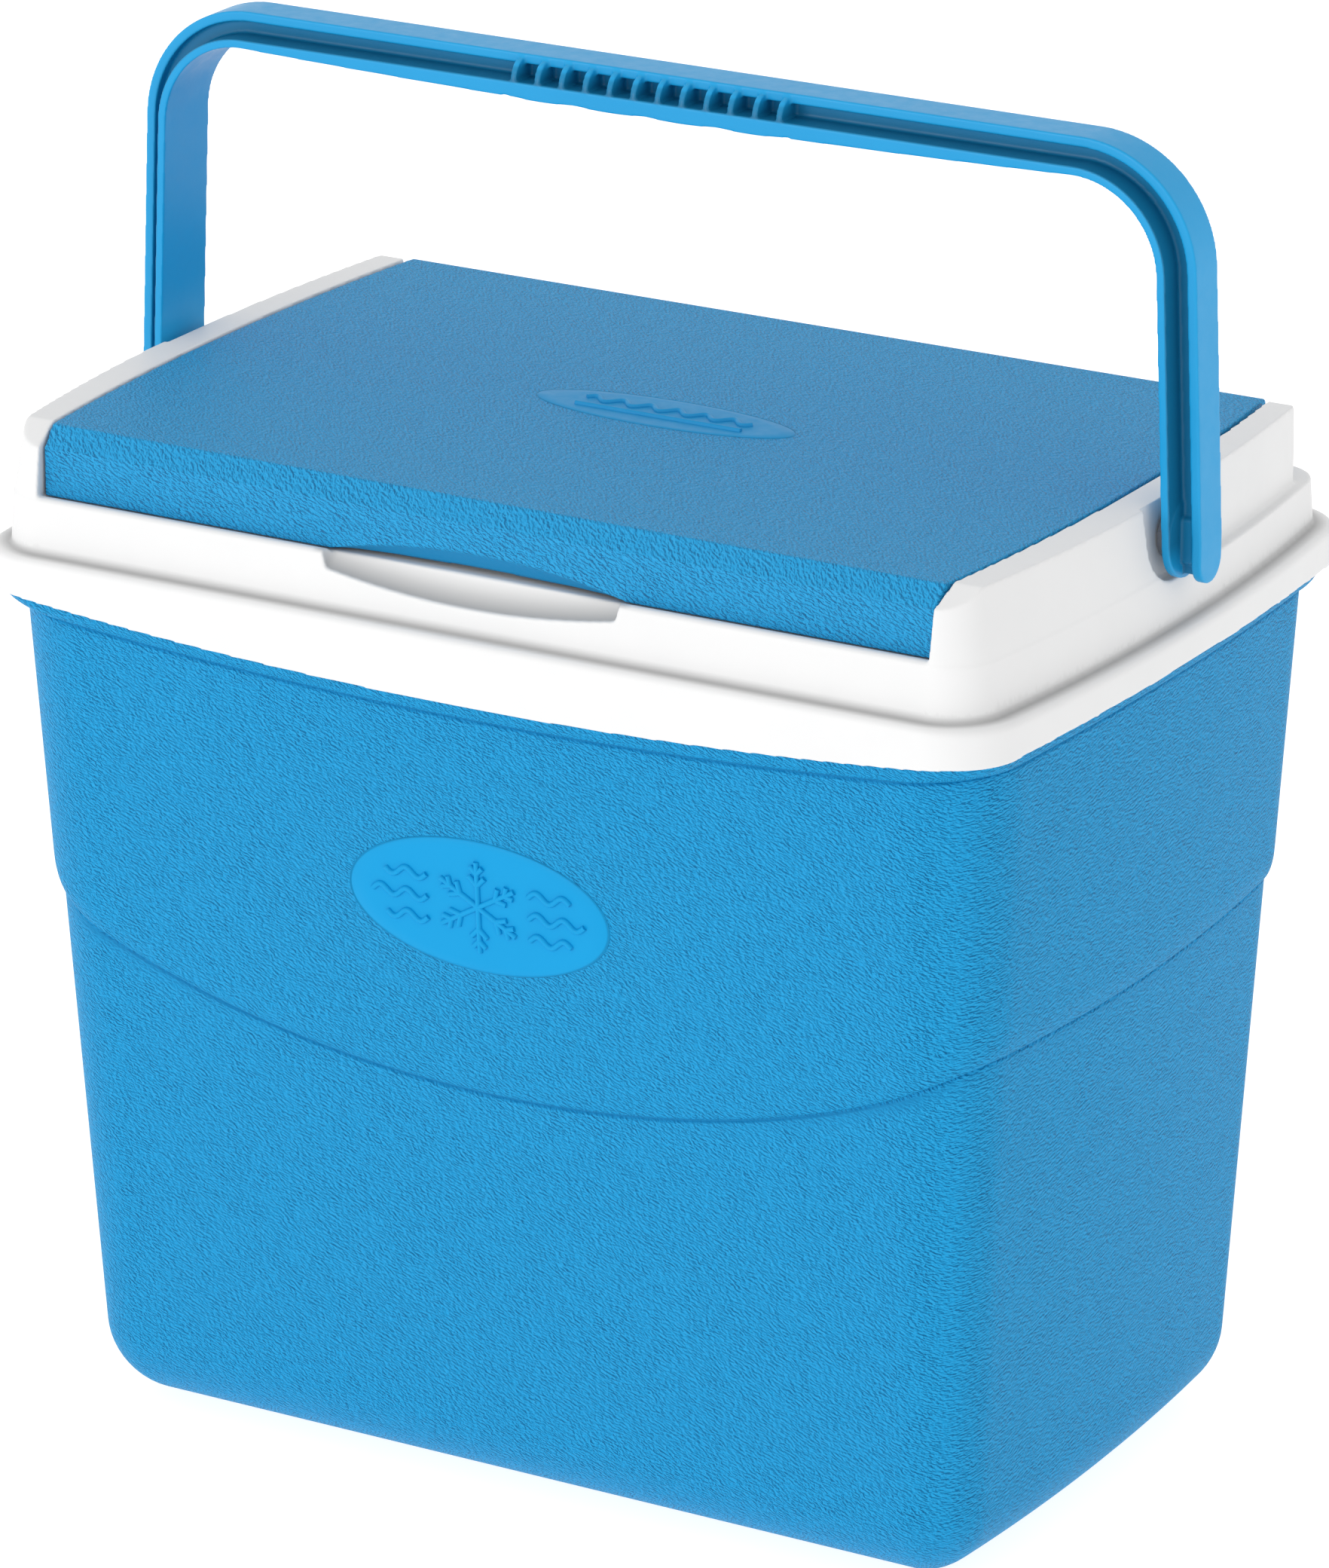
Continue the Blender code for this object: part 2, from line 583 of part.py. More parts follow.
def make_top_frame(collection, cutters, material):
    frame = loft_object("top_frame", frame_ring(), collection, material, closed=True)
    boolean(frame, make_rails(cutters), "UNION")

    half = SCOOP_HALF_X + SCOOP_SIDE_LEAN + SCOOP_WALL
    front = COLLAR_HALF_Y - BEZEL_INSET - BEZEL_DRAFT - BEZEL_WALL / 2
    backing = block("scoop_backing", (-half, -front, COLLAR_TOP_Z + SCOOP_WALL),
                    (half, -front + SCOOP_DEPTH + SCOOP_WALL, DECK_Z - BITE), cutters)
    boolean(frame, as_cutter(backing), "UNION")
    boolean(frame, make_scoop(cutters))

    facet_rise = RAIL_TOP_Z - RAIL_FACET_Z
    slope = math.atan2(facet_rise, RAIL_FACET_LENGTH)
    lean_share = (RAIL_FACET_Z - DECK_Z) / (RAIL_TOP_Z - DECK_Z)
    rail_pull = mix(BEZEL_DRAFT, COLLAR_HALF_X - BEZEL_INSET - RAIL_TOP_HALF_X, lean_share)
    rail_front_y = -(COLLAR_HALF_Y - BEZEL_INSET - rail_pull)
    bm = bmesh.new()
    profile = [(rail_front_y, RAIL_FACET_Z),
               (rail_front_y + 2 * RAIL_FACET_LENGTH, RAIL_FACET_Z + 2 * facet_rise),
               (rail_front_y - CUT_REACH, RAIL_FACET_Z + 2 * facet_rise),
               (rail_front_y - CUT_REACH, RAIL_FACET_Z - CUT_REACH * math.tan(slope))]
    prism_x(bm, profile, -CUT_HALF_X, CUT_HALF_X)
    boolean(frame, as_cutter(add_mesh("rail_facet", bm, cutters)))

    for side in (1, -1):
        boolean(frame, make_recess(side, cutters))
        boolean(frame, make_corner_clearance(side, cutters))
    ledge = block("rear_ledge", (-CUT_HALF_X, REAR_LEDGE_Y, RECESS_FLOOR_Z),
                  (CUT_HALF_X, CUT_HALF_Y, CUT_HIGH_Z), cutters)
    boolean(frame, as_cutter(ledge))
    bm = bmesh.new()
    for side in (1, -1):
        inner, outer = handle_pin_span()
        rod(bm, PIVOT_RADIUS + PIN_PLAY, (side * (inner - GAP), HANDLE_AXIS_Y, HANDLE_AXIS_Z),
            (side * outer, HANDLE_AXIS_Y, HANDLE_AXIS_Z))
        inner, outer = lid_pin_span()
        rod(bm, LID_PIN_RADIUS + PIN_PLAY, (side * inner, LID_AXIS_Y, LID_AXIS_Z),
            (side * (outer + GAP), LID_AXIS_Y, LID_AXIS_Z))
    boolean(frame, as_cutter(add_mesh("pin_holes", bm, cutters)))
    return frame


# ---------------------------------------------------------------- lid
def lid_profile(inset, bottom_z):
    """(y, z) outline of the lid's section, drawn in by `inset`, cut off at bottom_z."""
    front, rear, top = LID_FRONT_Y + inset, LID_REAR_Y - inset, LID_TOP_Z - inset
    round_in = LID_REAR_ROUND * 0.3
    radius = LID_REAR_Y - LID_AXIS_Y - inset
    points = [(front, bottom_z), (front, LID_TOP_Z - LID_BEVEL_DROP - inset * 0.4),
              (LID_FRONT_Y + LID_BEVEL_DEPTH + inset * 0.4, top),
              (rear - LID_REAR_ROUND, top), (rear - round_in, top - round_in),
              (rear, top - LID_REAR_ROUND)]
    drop = min(1.0, (LID_AXIS_Z - bottom_z) / radius)
    last = math.asin(drop) if drop > 0 else 0.0
    if drop <= 0:
        return points + [(rear, bottom_z)]
    for i in range(6):
        angle = -last * i / 5
        points.append((LID_AXIS_Y + radius * math.cos(angle),
                       LID_AXIS_Z + radius * math.sin(angle)))
    if bottom_z < LID_AXIS_Z - radius:
        points.append((LID_AXIS_Y, bottom_z))
    return points


def lid_block(name, inset, bottom_z, collection, cutters, material=None):
    """Lid-shaped solid: the section run along X, kept inside the bowed plan outline."""
    bm = bmesh.new()
    prism_x(bm, lid_profile(inset, bottom_z), -COLLAR_HALF_X, COLLAR_HALF_X)
    solid = add_mesh(name, bm, collection, material, (0, LID_AXIS_Y, LID_AXIS_Z))
    boolean(solid, lid_plan(f"{name}_plan", inset, cutters), "INTERSECT")
    return solid


def lid_plan(name, inset, cutters):
    """Upright prism whose two short sides are the lid's bowed sides, drawn in by `inset`."""
    half_y = 0.5 * (LID_REAR_Y - LID_FRONT_Y)
    centre = 0.5 * (LID_REAR_Y + LID_FRONT_Y)
    size = (LID_HALF_X - inset, half_y * OVERRUN, LID_CORNER, LID_BOW * OVERRUN**2)
    rings = [ring(size, z, 0.0, COARSE, centre)
             for z in (PLUG_BOTTOM_Z - CUT_REACH, LID_TOP_Z + CUT_REACH)]
    return as_cutter(loft_object(name, rings, cutters))


def lid_side_x(y):
    """Half width of the lid at a given Y."""
    half_y = 0.5 * (LID_REAR_Y - LID_FRONT_Y)
    centre = 0.5 * (LID_REAR_Y + LID_FRONT_Y)
    return LID_HALF_X - LID_BOW * ((y - centre) / half_y) ** 2


def lid_pin_span():
    """Inner and outer X of the right hinge pin."""
    rail_inner = RAIL_INNER_HALF_X - RAIL_INNER_BOW * (LID_AXIS_Y / COLLAR_HALF_Y) ** 2
    return rail_inner - LID_PIN_IN_LID, rail_inner + LID_PIN_IN_RAIL


def handle_pin_span():
    """Inner and outer X of the right handle stud."""
    return recess_wall_x(HANDLE_AXIS_Z) - PIVOT_IN_RAIL, handle_inner_x() + PIVOT_IN_LEG


def recess_wall_x(z):
    """Half width between the two recess walls at mid-depth; they lean inwards."""
    share = (z - RECESS_FLOOR_Z) / (RAIL_TOP_Z - RECESS_FLOOR_Z)
    return mix(RECESS_LOW_HALF_X, RECESS_TOP_HALF_X, share)


def handle_inner_x():
    return HANDLE_FOOT_HALF_X - HANDLE_THICKNESS


def lid_bosses(name, grow, cutters):
    bm = bmesh.new()
    outer = lid_side_x(LID_AXIS_Y) - LID_SKIN * 0.4
    low = Vector((outer - BOSS_LENGTH - grow, BOSS_FRONT_Y - grow, BOSS_Z - grow * 0.5))
    high = Vector((outer + grow, LID_REAR_Y - LID_SKIN * 0.5, LID_TOP_Z - LID_SKIN * 0.5))
    for side in (1, -1):
        centre = (low + high) / 2
        centre.x *= side
        size = high - low
        place = Matrix.Translation(centre) @ Matrix.Diagonal((*size, 1.0))
        bmesh.ops.create_cube(bm, size=1.0, matrix=place)
    return as_cutter(add_mesh(name, bm, cutters))


def make_lid_arch(cutters):
    """Cutter for the sloping relief under the lid's front edge."""
    sections = []
    for share in (-1.0, 0.0, 1.0, 1.4):
        rise = mix(LID_ARCH_RISE, LID_ARCH_INNER_RISE, min(share, 1.0))
        y = LID_FRONT_Y + LID_ARCH_DEPTH * share
        section = []
        for i in range(21):
            x = mix(-LID_ARCH_HALF_X, LID_ARCH_HALF_X, i / 20)
            arc = 1 - (x / LID_ARCH_HALF_X) ** 2
            section.append(Vector((x, y, LID_BOTTOM_Z - BITE + (rise + BITE) * arc)))
        section += [Vector((LID_ARCH_HALF_X, y, LID_BOTTOM_Z - CUT_REACH)),
                    Vector((-LID_ARCH_HALF_X, y, LID_BOTTOM_Z - CUT_REACH))]
        sections.append(section)
    return as_cutter(loft_object("lid_arch", sections, cutters))


def make_lid(collection, cutters, blue, white, foam_material, rubber):
    skin = lid_block("lid_skin", 0.0, LID_BOTTOM_Z, collection, cutters, blue)
    hollow = as_cutter(lid_block("lid_hollow", LID_SKIN, LID_BOTTOM_Z - CUT_REACH, cutters, cutters))
    boolean(skin, hollow)
    boolean(skin, lid_bosses("lid_bosses", 0.0, cutters), "UNION")
    bm = bmesh.new()
    for side in (1, -1):
        inner, outer = lid_pin_span()
        rod(bm, LID_PIN_RADIUS + PIN_PLAY, (side * (inner - GAP), LID_AXIS_Y, LID_AXIS_Z),
            (side * (outer + CUT_REACH), LID_AXIS_Y, LID_AXIS_Z))
    boolean(skin, as_cutter(add_mesh("lid_pin_holes", bm, cutters)))
    wall = LID_FRONT_Y + LID_SKIN
    half = LID_ARCH_HALF_X + SCOOP_WALL
    backing = block("lid_arch_backing", (-half, wall - BITE, LID_BOTTOM_Z + GAP),
                    (half, wall + LID_ARCH_BACKING, LID_BOTTOM_Z + LID_ARCH_BACKING_HEIGHT),
                    cutters)
    boolean(skin, as_cutter(backing), "UNION")
    boolean(skin, make_lid_arch(cutters))

    rear = LID_AXIS_Y - GAP
    front = wall + LID_ARCH_BACKING + GAP
    pan_size = (LID_HALF_X, 0.5 * (rear - front), LID_CORNER, 0.0)
    pan_centre = 0.5 * (rear + front)
    taper = PLUG_GAP + PLUG_TAPER
    pan_rings = [
        mouth_ring(PLUG_BOTTOM_Z, taper, COARSE),
        mouth_ring(PAN_Z, PLUG_GAP, COARSE),
        ring(pan_size, PAN_Z, 0.0, COARSE, pan_centre),
        ring(pan_size, PAN_Z + PAN_THICKNESS, 0.0, COARSE, pan_centre),
        mouth_ring(PAN_Z + PAN_THICKNESS, PLUG_GAP + PAN_THICKNESS, COARSE),
        mouth_ring(PLUG_BOTTOM_Z + PAN_THICKNESS, taper + PAN_THICKNESS, COARSE),
    ]
    origin = (0, LID_AXIS_Y, LID_AXIS_Z)
    pan = loft_object("lid_pan", pan_rings, collection, white, origin=origin)
    boolean(pan, lid_plan("lid_pan_plan", LID_SKIN + GAP, cutters), "INTERSECT")

    foam_low = PAN_Z + PAN_THICKNESS + GAP
    foam = lid_block("lid_foam", LID_SKIN + GAP, foam_low, collection, cutters, foam_material)
    core_rings = [mouth_ring(PLUG_BOTTOM_Z + PAN_THICKNESS + GAP,
                             taper + PAN_THICKNESS + GAP, COARSE),
                  mouth_ring(foam_low + PAN_THICKNESS, PLUG_GAP + PAN_THICKNESS + 2 * GAP, COARSE)]
    core = as_cutter(loft_object("lid_foam_core", core_rings, cutters))
    boolean(foam, core, "UNION")
    boolean(foam, lid_bosses("lid_boss_clearance", GAP, cutters))

    centre = (0, MOUTH_CENTRE_Y, PLUG_BOTTOM_Z)
    hole = rod(bmesh.new(), FILL_PLUG_RADIUS + GAP, Vector(centre) - Vector((0, 0, CUT_REACH)),
               Vector(centre) + Vector((0, 0, PAN_THICKNESS + BITE)))
    hole_cutter = as_cutter(add_mesh("lid_fill_hole", hole, cutters))
    boolean(pan, hole_cutter)
    make_fill_plug("lid_fill_plug", centre, PAN_THICKNESS, collection, white, origin)

    gasket_rings = []
    for z, inset in ((DECK_Z + GAP, -GASKET_INSET), (PAN_Z - GAP, -GASKET_INSET),
                     (PAN_Z - GAP, -GASKET_INSET - GASKET_WIDTH),
                     (DECK_Z + GAP, -GASKET_INSET - GASKET_WIDTH)):
        gasket_rings.append(mouth_ring(z, inset, COARSE))
    loft_object("lid_gasket", gasket_rings, collection, rubber, True, origin)


def make_fill_plug(name, hole_centre, thickness, collection, material, origin=None):
    """Push-in plug: a head under the panel and a shank up through it."""
    x, y, z = hole_centre
    head_low = z - GAP - FILL_PLUG_HEAD_THICKNESS
    steps = [(FILL_PLUG_HEAD, head_low), (FILL_PLUG_HEAD, z - GAP),
             (FILL_PLUG_RADIUS, z - GAP), (FILL_PLUG_RADIUS, z + thickness - GAP)]
    rings = []
    for radius, height in steps:
        rings.append([Vector((x + radius * math.cos(math.tau * i / 24),
                              y + radius * math.sin(math.tau * i / 24), height))
                      for i in range(24)])
    return loft_object(name, rings, collection, material, origin=origin or (0, 0, 0))


def make_stepped_pin(name, side, steps, y, z, collection, material):
    """A turned pin along X from a list of (radius, distance from the centre plane)."""
    rings = []
    for radius, x in steps:
        rings.append([Vector((side * x, y + radius * math.cos(math.tau * i / 20),
                              z + radius * math.sin(math.tau * i / 20))) for i in range(20)])
    return loft_object(name, rings, collection, material, origin=(side * steps[0][1], y, z))


# ---------------------------------------------------------------- handle
def leg_outer_x(z):
    return HANDLE_FOOT_HALF_X - HANDLE_LEAN * (z - HANDLE_AXIS_Z)


def handle_path():
    """Outer line of the handle from the right pivot over the top to the left pivot.

    Each station is (x, z, inward normal x, inward normal z, radial thickness).
    """
    lean = math.atan(HANDLE_LEAN)
    centre_z = HANDLE_TOP_Z - HANDLE_CORNER
    touch_z = centre_z + HANDLE_CORNER * math.sin(lean)
    centre_x = leg_outer_x(touch_z) - HANDLE_CORNER * math.cos(lean)
    right = []
    for i in range(4):
        z = mix(HANDLE_AXIS_Z, touch_z, i / 4)
        right.append((leg_outer_x(z), z, -math.cos(lean), -math.sin(lean), HANDLE_THICKNESS))
    for i in range(9):
        angle = mix(lean, math.pi / 2, i / 8)
        right.append((centre_x + HANDLE_CORNER * math.cos(angle),
                      centre_z + HANDLE_CORNER * math.sin(angle),
                      -math.cos(angle), -math.sin(angle), HANDLE_THICKNESS))
    grip = FINGER_PITCH * FINGER_COUNT / 2
    bar_x = [mix(centre_x, grip, i / 3) for i in (1, 2)]
    bar_x += [grip - FINGER_PITCH * i / 6 for i in range(3 * FINGER_COUNT)]
    bar = []
    for x in bar_x:
        thickness = HANDLE_THICKNESS + HANDLE_GRIP_EXTRA * (1 - (x / centre_x) ** 2)
        if abs(x) < grip:
            wave = abs(math.sin(math.pi * (grip - x) / FINGER_PITCH))
            thickness += FINGER_DEPTH * (wave - 0.5)
        bar.append((x, HANDLE_TOP_Z, 0.0, -1.0, thickness))
    middle = (0.0, HANDLE_TOP_Z, 0.0, -1.0,
              HANDLE_THICKNESS + HANDLE_GRIP_EXTRA - FINGER_DEPTH / 2)
    right += bar
    left = [(-x, z, -nx, nz, t) for x, z, nx, nz, t in reversed(right)]
    return right + [middle] + left


def groove_depth():
    """Depth of the inner flange's top below the outer line, the same all the way round."""
    return HANDLE_THICKNESS - INNER_FLANGE


def handle_section(thickness):
    """Section of the handle as (depth below the outer line, y): two flanges and a web."""
    groove_end = groove_depth()
    return [(0.0, -OUTER_FLANGE_HALF), (0.0, OUTER_FLANGE_HALF),
            (OUTER_FLANGE, OUTER_FLANGE_HALF), (OUTER_FLANGE, WEB_BACK),
            (groove_end, WEB_BACK), (groove_end, INNER_FLANGE_HALF),
            (thickness, INNER_FLANGE_HALF), (thickness, -INNER_FLANGE_HALF),
            (groove_end, -INNER_FLANGE_HALF), (groove_end, WEB_FRONT),
            (OUTER_FLANGE, WEB_FRONT), (OUTER_FLANGE, -OUTER_FLANGE_HALF)]


def make_carry_handle(collection, cutters, material):
    rings = []
    for x, z, normal_x, normal_z, thickness in handle_path():
        rings.append([Vector((x + depth * normal_x, HANDLE_AXIS_Y + y, z + depth * normal_z))
                      for depth, y in handle_section(thickness)])
    origin = (0, HANDLE_AXIS_Y, HANDLE_AXIS_Z)
    handle = loft_object("carry_handle", rings, collection, material, origin=origin)

    outer = HANDLE_FOOT_HALF_X
    inner = handle_inner_x()
    end_z = OUTER_FLANGE_END_Z + OUTER_FLANGE_HALF
    for side, name in ((1, "right"), (-1, "left")):
        axis = (HANDLE_AXIS_Y, HANDLE_AXIS_Z)
        parts = (("disc", INNER_FLANGE_HALF, inner, inner + INNER_FLANGE, axis, 32),
                 ("boss", PIVOT_BOSS_RADIUS, inner + PIVOT_BOSS_SET_IN, outer - PIVOT_BOSS_SET_IN,
                  axis, 24),
                 ("toe", OUTER_FLANGE_HALF, outer - OUTER_FLANGE, outer,
                  (HANDLE_AXIS_Y, end_z), 28))
        for part, radius, low_x, high_x, (y, z), segments in parts:
            bm = rod(bmesh.new(), radius, (side * low_x, y, z), (side * high_x, y, z), segments)
            boolean(handle, as_cutter(add_mesh(f"leg_{part}_{name}", bm, cutters)), "UNION")
        low = (min(side * outer, side * (outer - OUTER_FLANGE)),
               HANDLE_AXIS_Y - OUTER_FLANGE_HALF, end_z)
        high = (max(side * outer, side * (outer - OUTER_FLANGE)),
                HANDLE_AXIS_Y + OUTER_FLANGE_HALF, HANDLE_AXIS_Z + BITE)
        boolean(handle, as_cutter(block(f"leg_strap_{name}", low, high, cutters)), "UNION")

    rib_end = groove_depth() + BITE
    rib_profile = [(OUTER_FLANGE / 2, WEB_FRONT + BITE),
                   (OUTER_FLANGE / 2, -OUTER_FLANGE_HALF + RIB_SET_BACK),
                   (rib_end * RIB_BEND, -mix(OUTER_FLANGE_HALF, INNER_FLANGE_HALF, RIB_BEND)),
                   (rib_end, -INNER_FLANGE_HALF + RIB_SET_BACK),
                   (rib_end, WEB_FRONT + BITE)]
    bm = bmesh.new()
    for i in range(RIB_COUNT):
        x = (i - (RIB_COUNT - 1) / 2) * RIB_PITCH
        profile = [(HANDLE_AXIS_Y + y, HANDLE_TOP_Z - depth) for depth, y in rib_profile]
        prism_x(bm, profile, x - RIB_THICKNESS / 2, x + RIB_THICKNESS / 2)
    boolean(handle, as_cutter(add_mesh("grip_ribs", bm, cutters)), "UNION")

    bm = bmesh.new()
    for side in (1, -1):
        rod(bm, PIVOT_RADIUS + PIN_PLAY, (side * (inner - CUT_REACH), HANDLE_AXIS_Y, HANDLE_AXIS_Z),
            (side * (handle_pin_span()[1] + GAP), HANDLE_AXIS_Y, HANDLE_AXIS_Z))
    boolean(handle, as_cutter(add_mesh("handle_pin_holes", bm, cutters)))
    return handle


def make_pins(collection, material):
    inner, outer = handle_pin_span()
    wall = recess_wall_x(HANDLE_AXIS_Z - PIVOT_COLLAR_RADIUS) + GAP
    leg = handle_inner_x() - GAP
    for side, name in ((1, "right"), (-1, "left")):
        steps = [(PIVOT_RADIUS, inner), (PIVOT_RADIUS, wall), (PIVOT_COLLAR_RADIUS, wall),
                 (PIVOT_COLLAR_RADIUS, leg), (PIVOT_RADIUS, leg), (PIVOT_RADIUS, outer)]
        make_stepped_pin(f"handle_pivot_{name}", side, steps, HANDLE_AXIS_Y, HANDLE_AXIS_Z,
                         collection, material)
    inner, outer = lid_pin_span()
    for side, name in ((1, "right"), (-1, "left")):
        steps = [(LID_PIN_RADIUS, inner), (LID_PIN_RADIUS, outer)]
        make_stepped_pin(f"lid_hinge_pin_{name}", side, steps, LID_AXIS_Y, LID_AXIS_Z,
                         collection, material)


# ---------------------------------------------------------------- assembly
def main():
    clear_scene()
    chest = new_collection("cooler_chest")
    cutters = new_collection("cutters")
    blue = plastic("blue_textured", (0.022, 0.360, 0.770), 0.55)
    handle_blue = plastic("blue_smooth", (0.022, 0.360, 0.770), 0.38)
    white = plastic("white_plastic", (0.86, 0.86, 0.85), 0.35)
    liner_white = plastic("liner_white", (0.90, 0.90, 0.90), 0.30)
    foam = plastic("insulation_foam", (0.85, 0.80, 0.62), 0.90)
    rubber = plastic("seal_rubber", (0.35, 0.36, 0.37), 0.70)
    pin_grey = plastic("pin_grey", (0.25, 0.26, 0.28), 0.45)

    shell = make_outer_shell(chest, blue)
    base_centre = (0, 0, FOOT_RISE)
    hole = rod(bmesh.new(), FILL_PLUG_RADIUS + GAP, (0, 0, -CUT_REACH),
               (0, 0, FOOT_RISE + SHELL_WALL + 2 * BITE))
    boolean(shell, as_cutter(add_mesh("base_fill_hole", hole, cutters)))
    make_fill_plug("base_fill_plug", base_centre, SHELL_WALL, chest, blue)
    make_body_foam(chest, foam)
    make_inner_liner(chest, liner_white)
    make_top_frame(chest, cutters, white)
    make_lid(chest, cutters, blue, liner_white, foam, rubber)
    make_carry_handle(chest, cutters, handle_blue)
    make_pins(chest, pin_grey)


main()
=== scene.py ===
import math

import bmesh
import bpy
import numpy as np
from mathutils import Matrix, Vector


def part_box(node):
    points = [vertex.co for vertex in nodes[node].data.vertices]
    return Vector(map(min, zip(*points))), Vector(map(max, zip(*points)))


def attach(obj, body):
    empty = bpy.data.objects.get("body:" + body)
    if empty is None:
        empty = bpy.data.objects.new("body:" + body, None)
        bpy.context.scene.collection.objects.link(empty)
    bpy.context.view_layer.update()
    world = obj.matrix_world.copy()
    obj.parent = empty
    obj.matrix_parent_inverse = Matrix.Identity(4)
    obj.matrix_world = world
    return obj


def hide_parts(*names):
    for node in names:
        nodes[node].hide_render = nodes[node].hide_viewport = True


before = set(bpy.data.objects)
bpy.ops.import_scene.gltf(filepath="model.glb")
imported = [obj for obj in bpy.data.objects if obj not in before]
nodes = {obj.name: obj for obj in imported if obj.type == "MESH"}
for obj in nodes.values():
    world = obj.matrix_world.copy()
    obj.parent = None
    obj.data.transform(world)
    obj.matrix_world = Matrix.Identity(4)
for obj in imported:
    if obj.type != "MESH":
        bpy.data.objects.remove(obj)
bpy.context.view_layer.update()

scene = bpy.context.scene

# ---- sizes, in metres
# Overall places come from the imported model; the rest repeats the model's own dimensions.
frame_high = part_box("top_frame")[1]
handle_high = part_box("carry_handle")[1]
lid_low, lid_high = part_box("lid_skin")
GAP = 0.0003

BASE_HALF = (0.1479, 0.0882)
BASE_CORNER, BASE_BOW = 0.019, 0.004
BODY_TOP_Z = 0.2379
BODY_HALF = (0.1609, 0.1047)
BODY_CORNER, BODY_BOW = 0.026, 0.007
BASE_FILLET = 0.0234
SHELL_WALL = 0.0024
FOOT_WIDTH, FOOT_RISE = 0.016, 0.0026
STEP_LOW_Z, STEP_RADIUS, STEP_CORNER_RISE = 0.1304, 0.395, 0.006
STEP_PROUD, STEP_NOSE = 0.0021, 0.0085
GROOVE = ((-0.0011, 0.0), (-0.0008, 0.00012), (-0.00045, 0.00045), (-0.0001, 0.00062),
          (0.00015, 0.00055), (0.0003, 0.0001))
SEAM_BELOW, SEAM_ABOVE, SEAM_SHADE = 0.0013, 0.0003, 0.0012

COLLAR_HALF_X, COLLAR_HALF_Y = frame_high.x, frame_high.y
COLLAR_CORNER, COLLAR_BOW = 0.0205, 0.0085
COLLAR_TOP_Z, COLLAR_EDGE_Z = 0.2684, 0.2570
COLLAR_FRONT_DIP, COLLAR_SIDE_LIFT = 0.0077, 0.0020
COLLAR_WALL, COLLAR_ROUND = 0.0028, 0.0022
FLARE_HEIGHT, FLARE_SEAM, FLARE_OVERLAP = 0.0056, 0.0016, 0.0005
BEZEL_INSET, BEZEL_WALL, BEZEL_DRAFT = 0.0055, 0.0032, 0.0010
BEZEL_TOP_Z, DECK_Z, DECK_THICKNESS = 0.2848, 0.2838, 0.0030
LIP_WIDTH = 0.0030

MOUTH = (0.1385, 0.0823, 0.018, 0.0068)
MOUTH_CENTRE_Y, MOUTH_LIP_Z, MOUTH_WALL = -0.0058, 0.2700, 0.0024
LINER_WALL, LINER_FLANGE, LINER_FLOOR_Z = 0.0018, 0.0080, 0.0270
LINER_FLOOR_HALF, LINER_FLOOR_CENTRE_Y = (0.1245, 0.0680), -0.0020
LINER_FILLET = 0.012

RAIL_TOP_Z = frame_high.z
RAIL_TOP_HALF_X, RAIL_INNER_HALF_X, RAIL_INNER_BOW = 0.1602, 0.1495, 0.0074
RAIL_REAR_Y, RAIL_FACET_Z, RAIL_FACET_LENGTH = 0.0935, 0.2989, 0.0095
RAIL_END_X, RAIL_END_ROUND = 0.1543, 0.0032
RECESS_FRONT_Y, RECESS_FLOOR_Z, RECESS_CORNER = -0.0150, 0.2816, 0.0120
RECESS_LOW_HALF_X, RECESS_TOP_HALF_X = 0.1600, 0.1588
REAR_LEDGE_Y = 0.0970
SCOOP_HALF_X, SCOOP_SIDE_LEAN, SCOOP_DEPTH = 0.0465, 0.0035, 0.0056
SCOOP_LOW_Z, SCOOP_ARC_RISE, SCOOP_RISE = 0.2756, 0.0042, 0.0085

LID_FRONT_Y, LID_REAR_Y, LID_HALF_X = lid_low.y, lid_high.y, 0.1483
LID_CORNER, LID_TOP_Z, LID_BOTTOM_Z = 0.0030, lid_high.z, lid_low.z
LID_BEVEL_DROP, LID_BEVEL_DEPTH, LID_REAR_ROUND = 0.0056, 0.0055, 0.0012
LID_SKIN = 0.0024
LID_AXIS_Y = 0.0840
LID_HALF_Y = 0.5 * (LID_REAR_Y - LID_FRONT_Y)
LID_CENTRE_Y = 0.5 * (LID_REAR_Y + LID_FRONT_Y)
LID_BOW = RAIL_INNER_BOW * (LID_HALF_Y / COLLAR_HALF_Y) ** 2
LID_AXIS_Z = LID_BOTTOM_Z + (LID_REAR_Y - LID_AXIS_Y)
LID_ARCH_HALF_X, LID_ARCH_RISE, LID_ARCH_INNER_RISE, LID_ARCH_DEPTH = 0.0495, 0.0062, 0.0012, 0.0027
LID_PIN_RADIUS, LID_PIN_IN_LID, LID_PIN_IN_RAIL, PIN_PLAY = 0.0030, 0.0085, 0.0050, 0.0003
BOSS_LENGTH, BOSS_FRONT_Y, BOSS_Z = 0.0130, 0.0772, 0.2899
PAN_Z, PAN_THICKNESS = 0.2872, 0.0022
PLUG_GAP, PLUG_TAPER, PLUG_BOTTOM_Z = 0.0030, 0.0035, 0.2680
GASKET_INSET, GASKET_WIDTH = 0.0010, 0.0045
FILL_HOLE_RADIUS = 0.0063

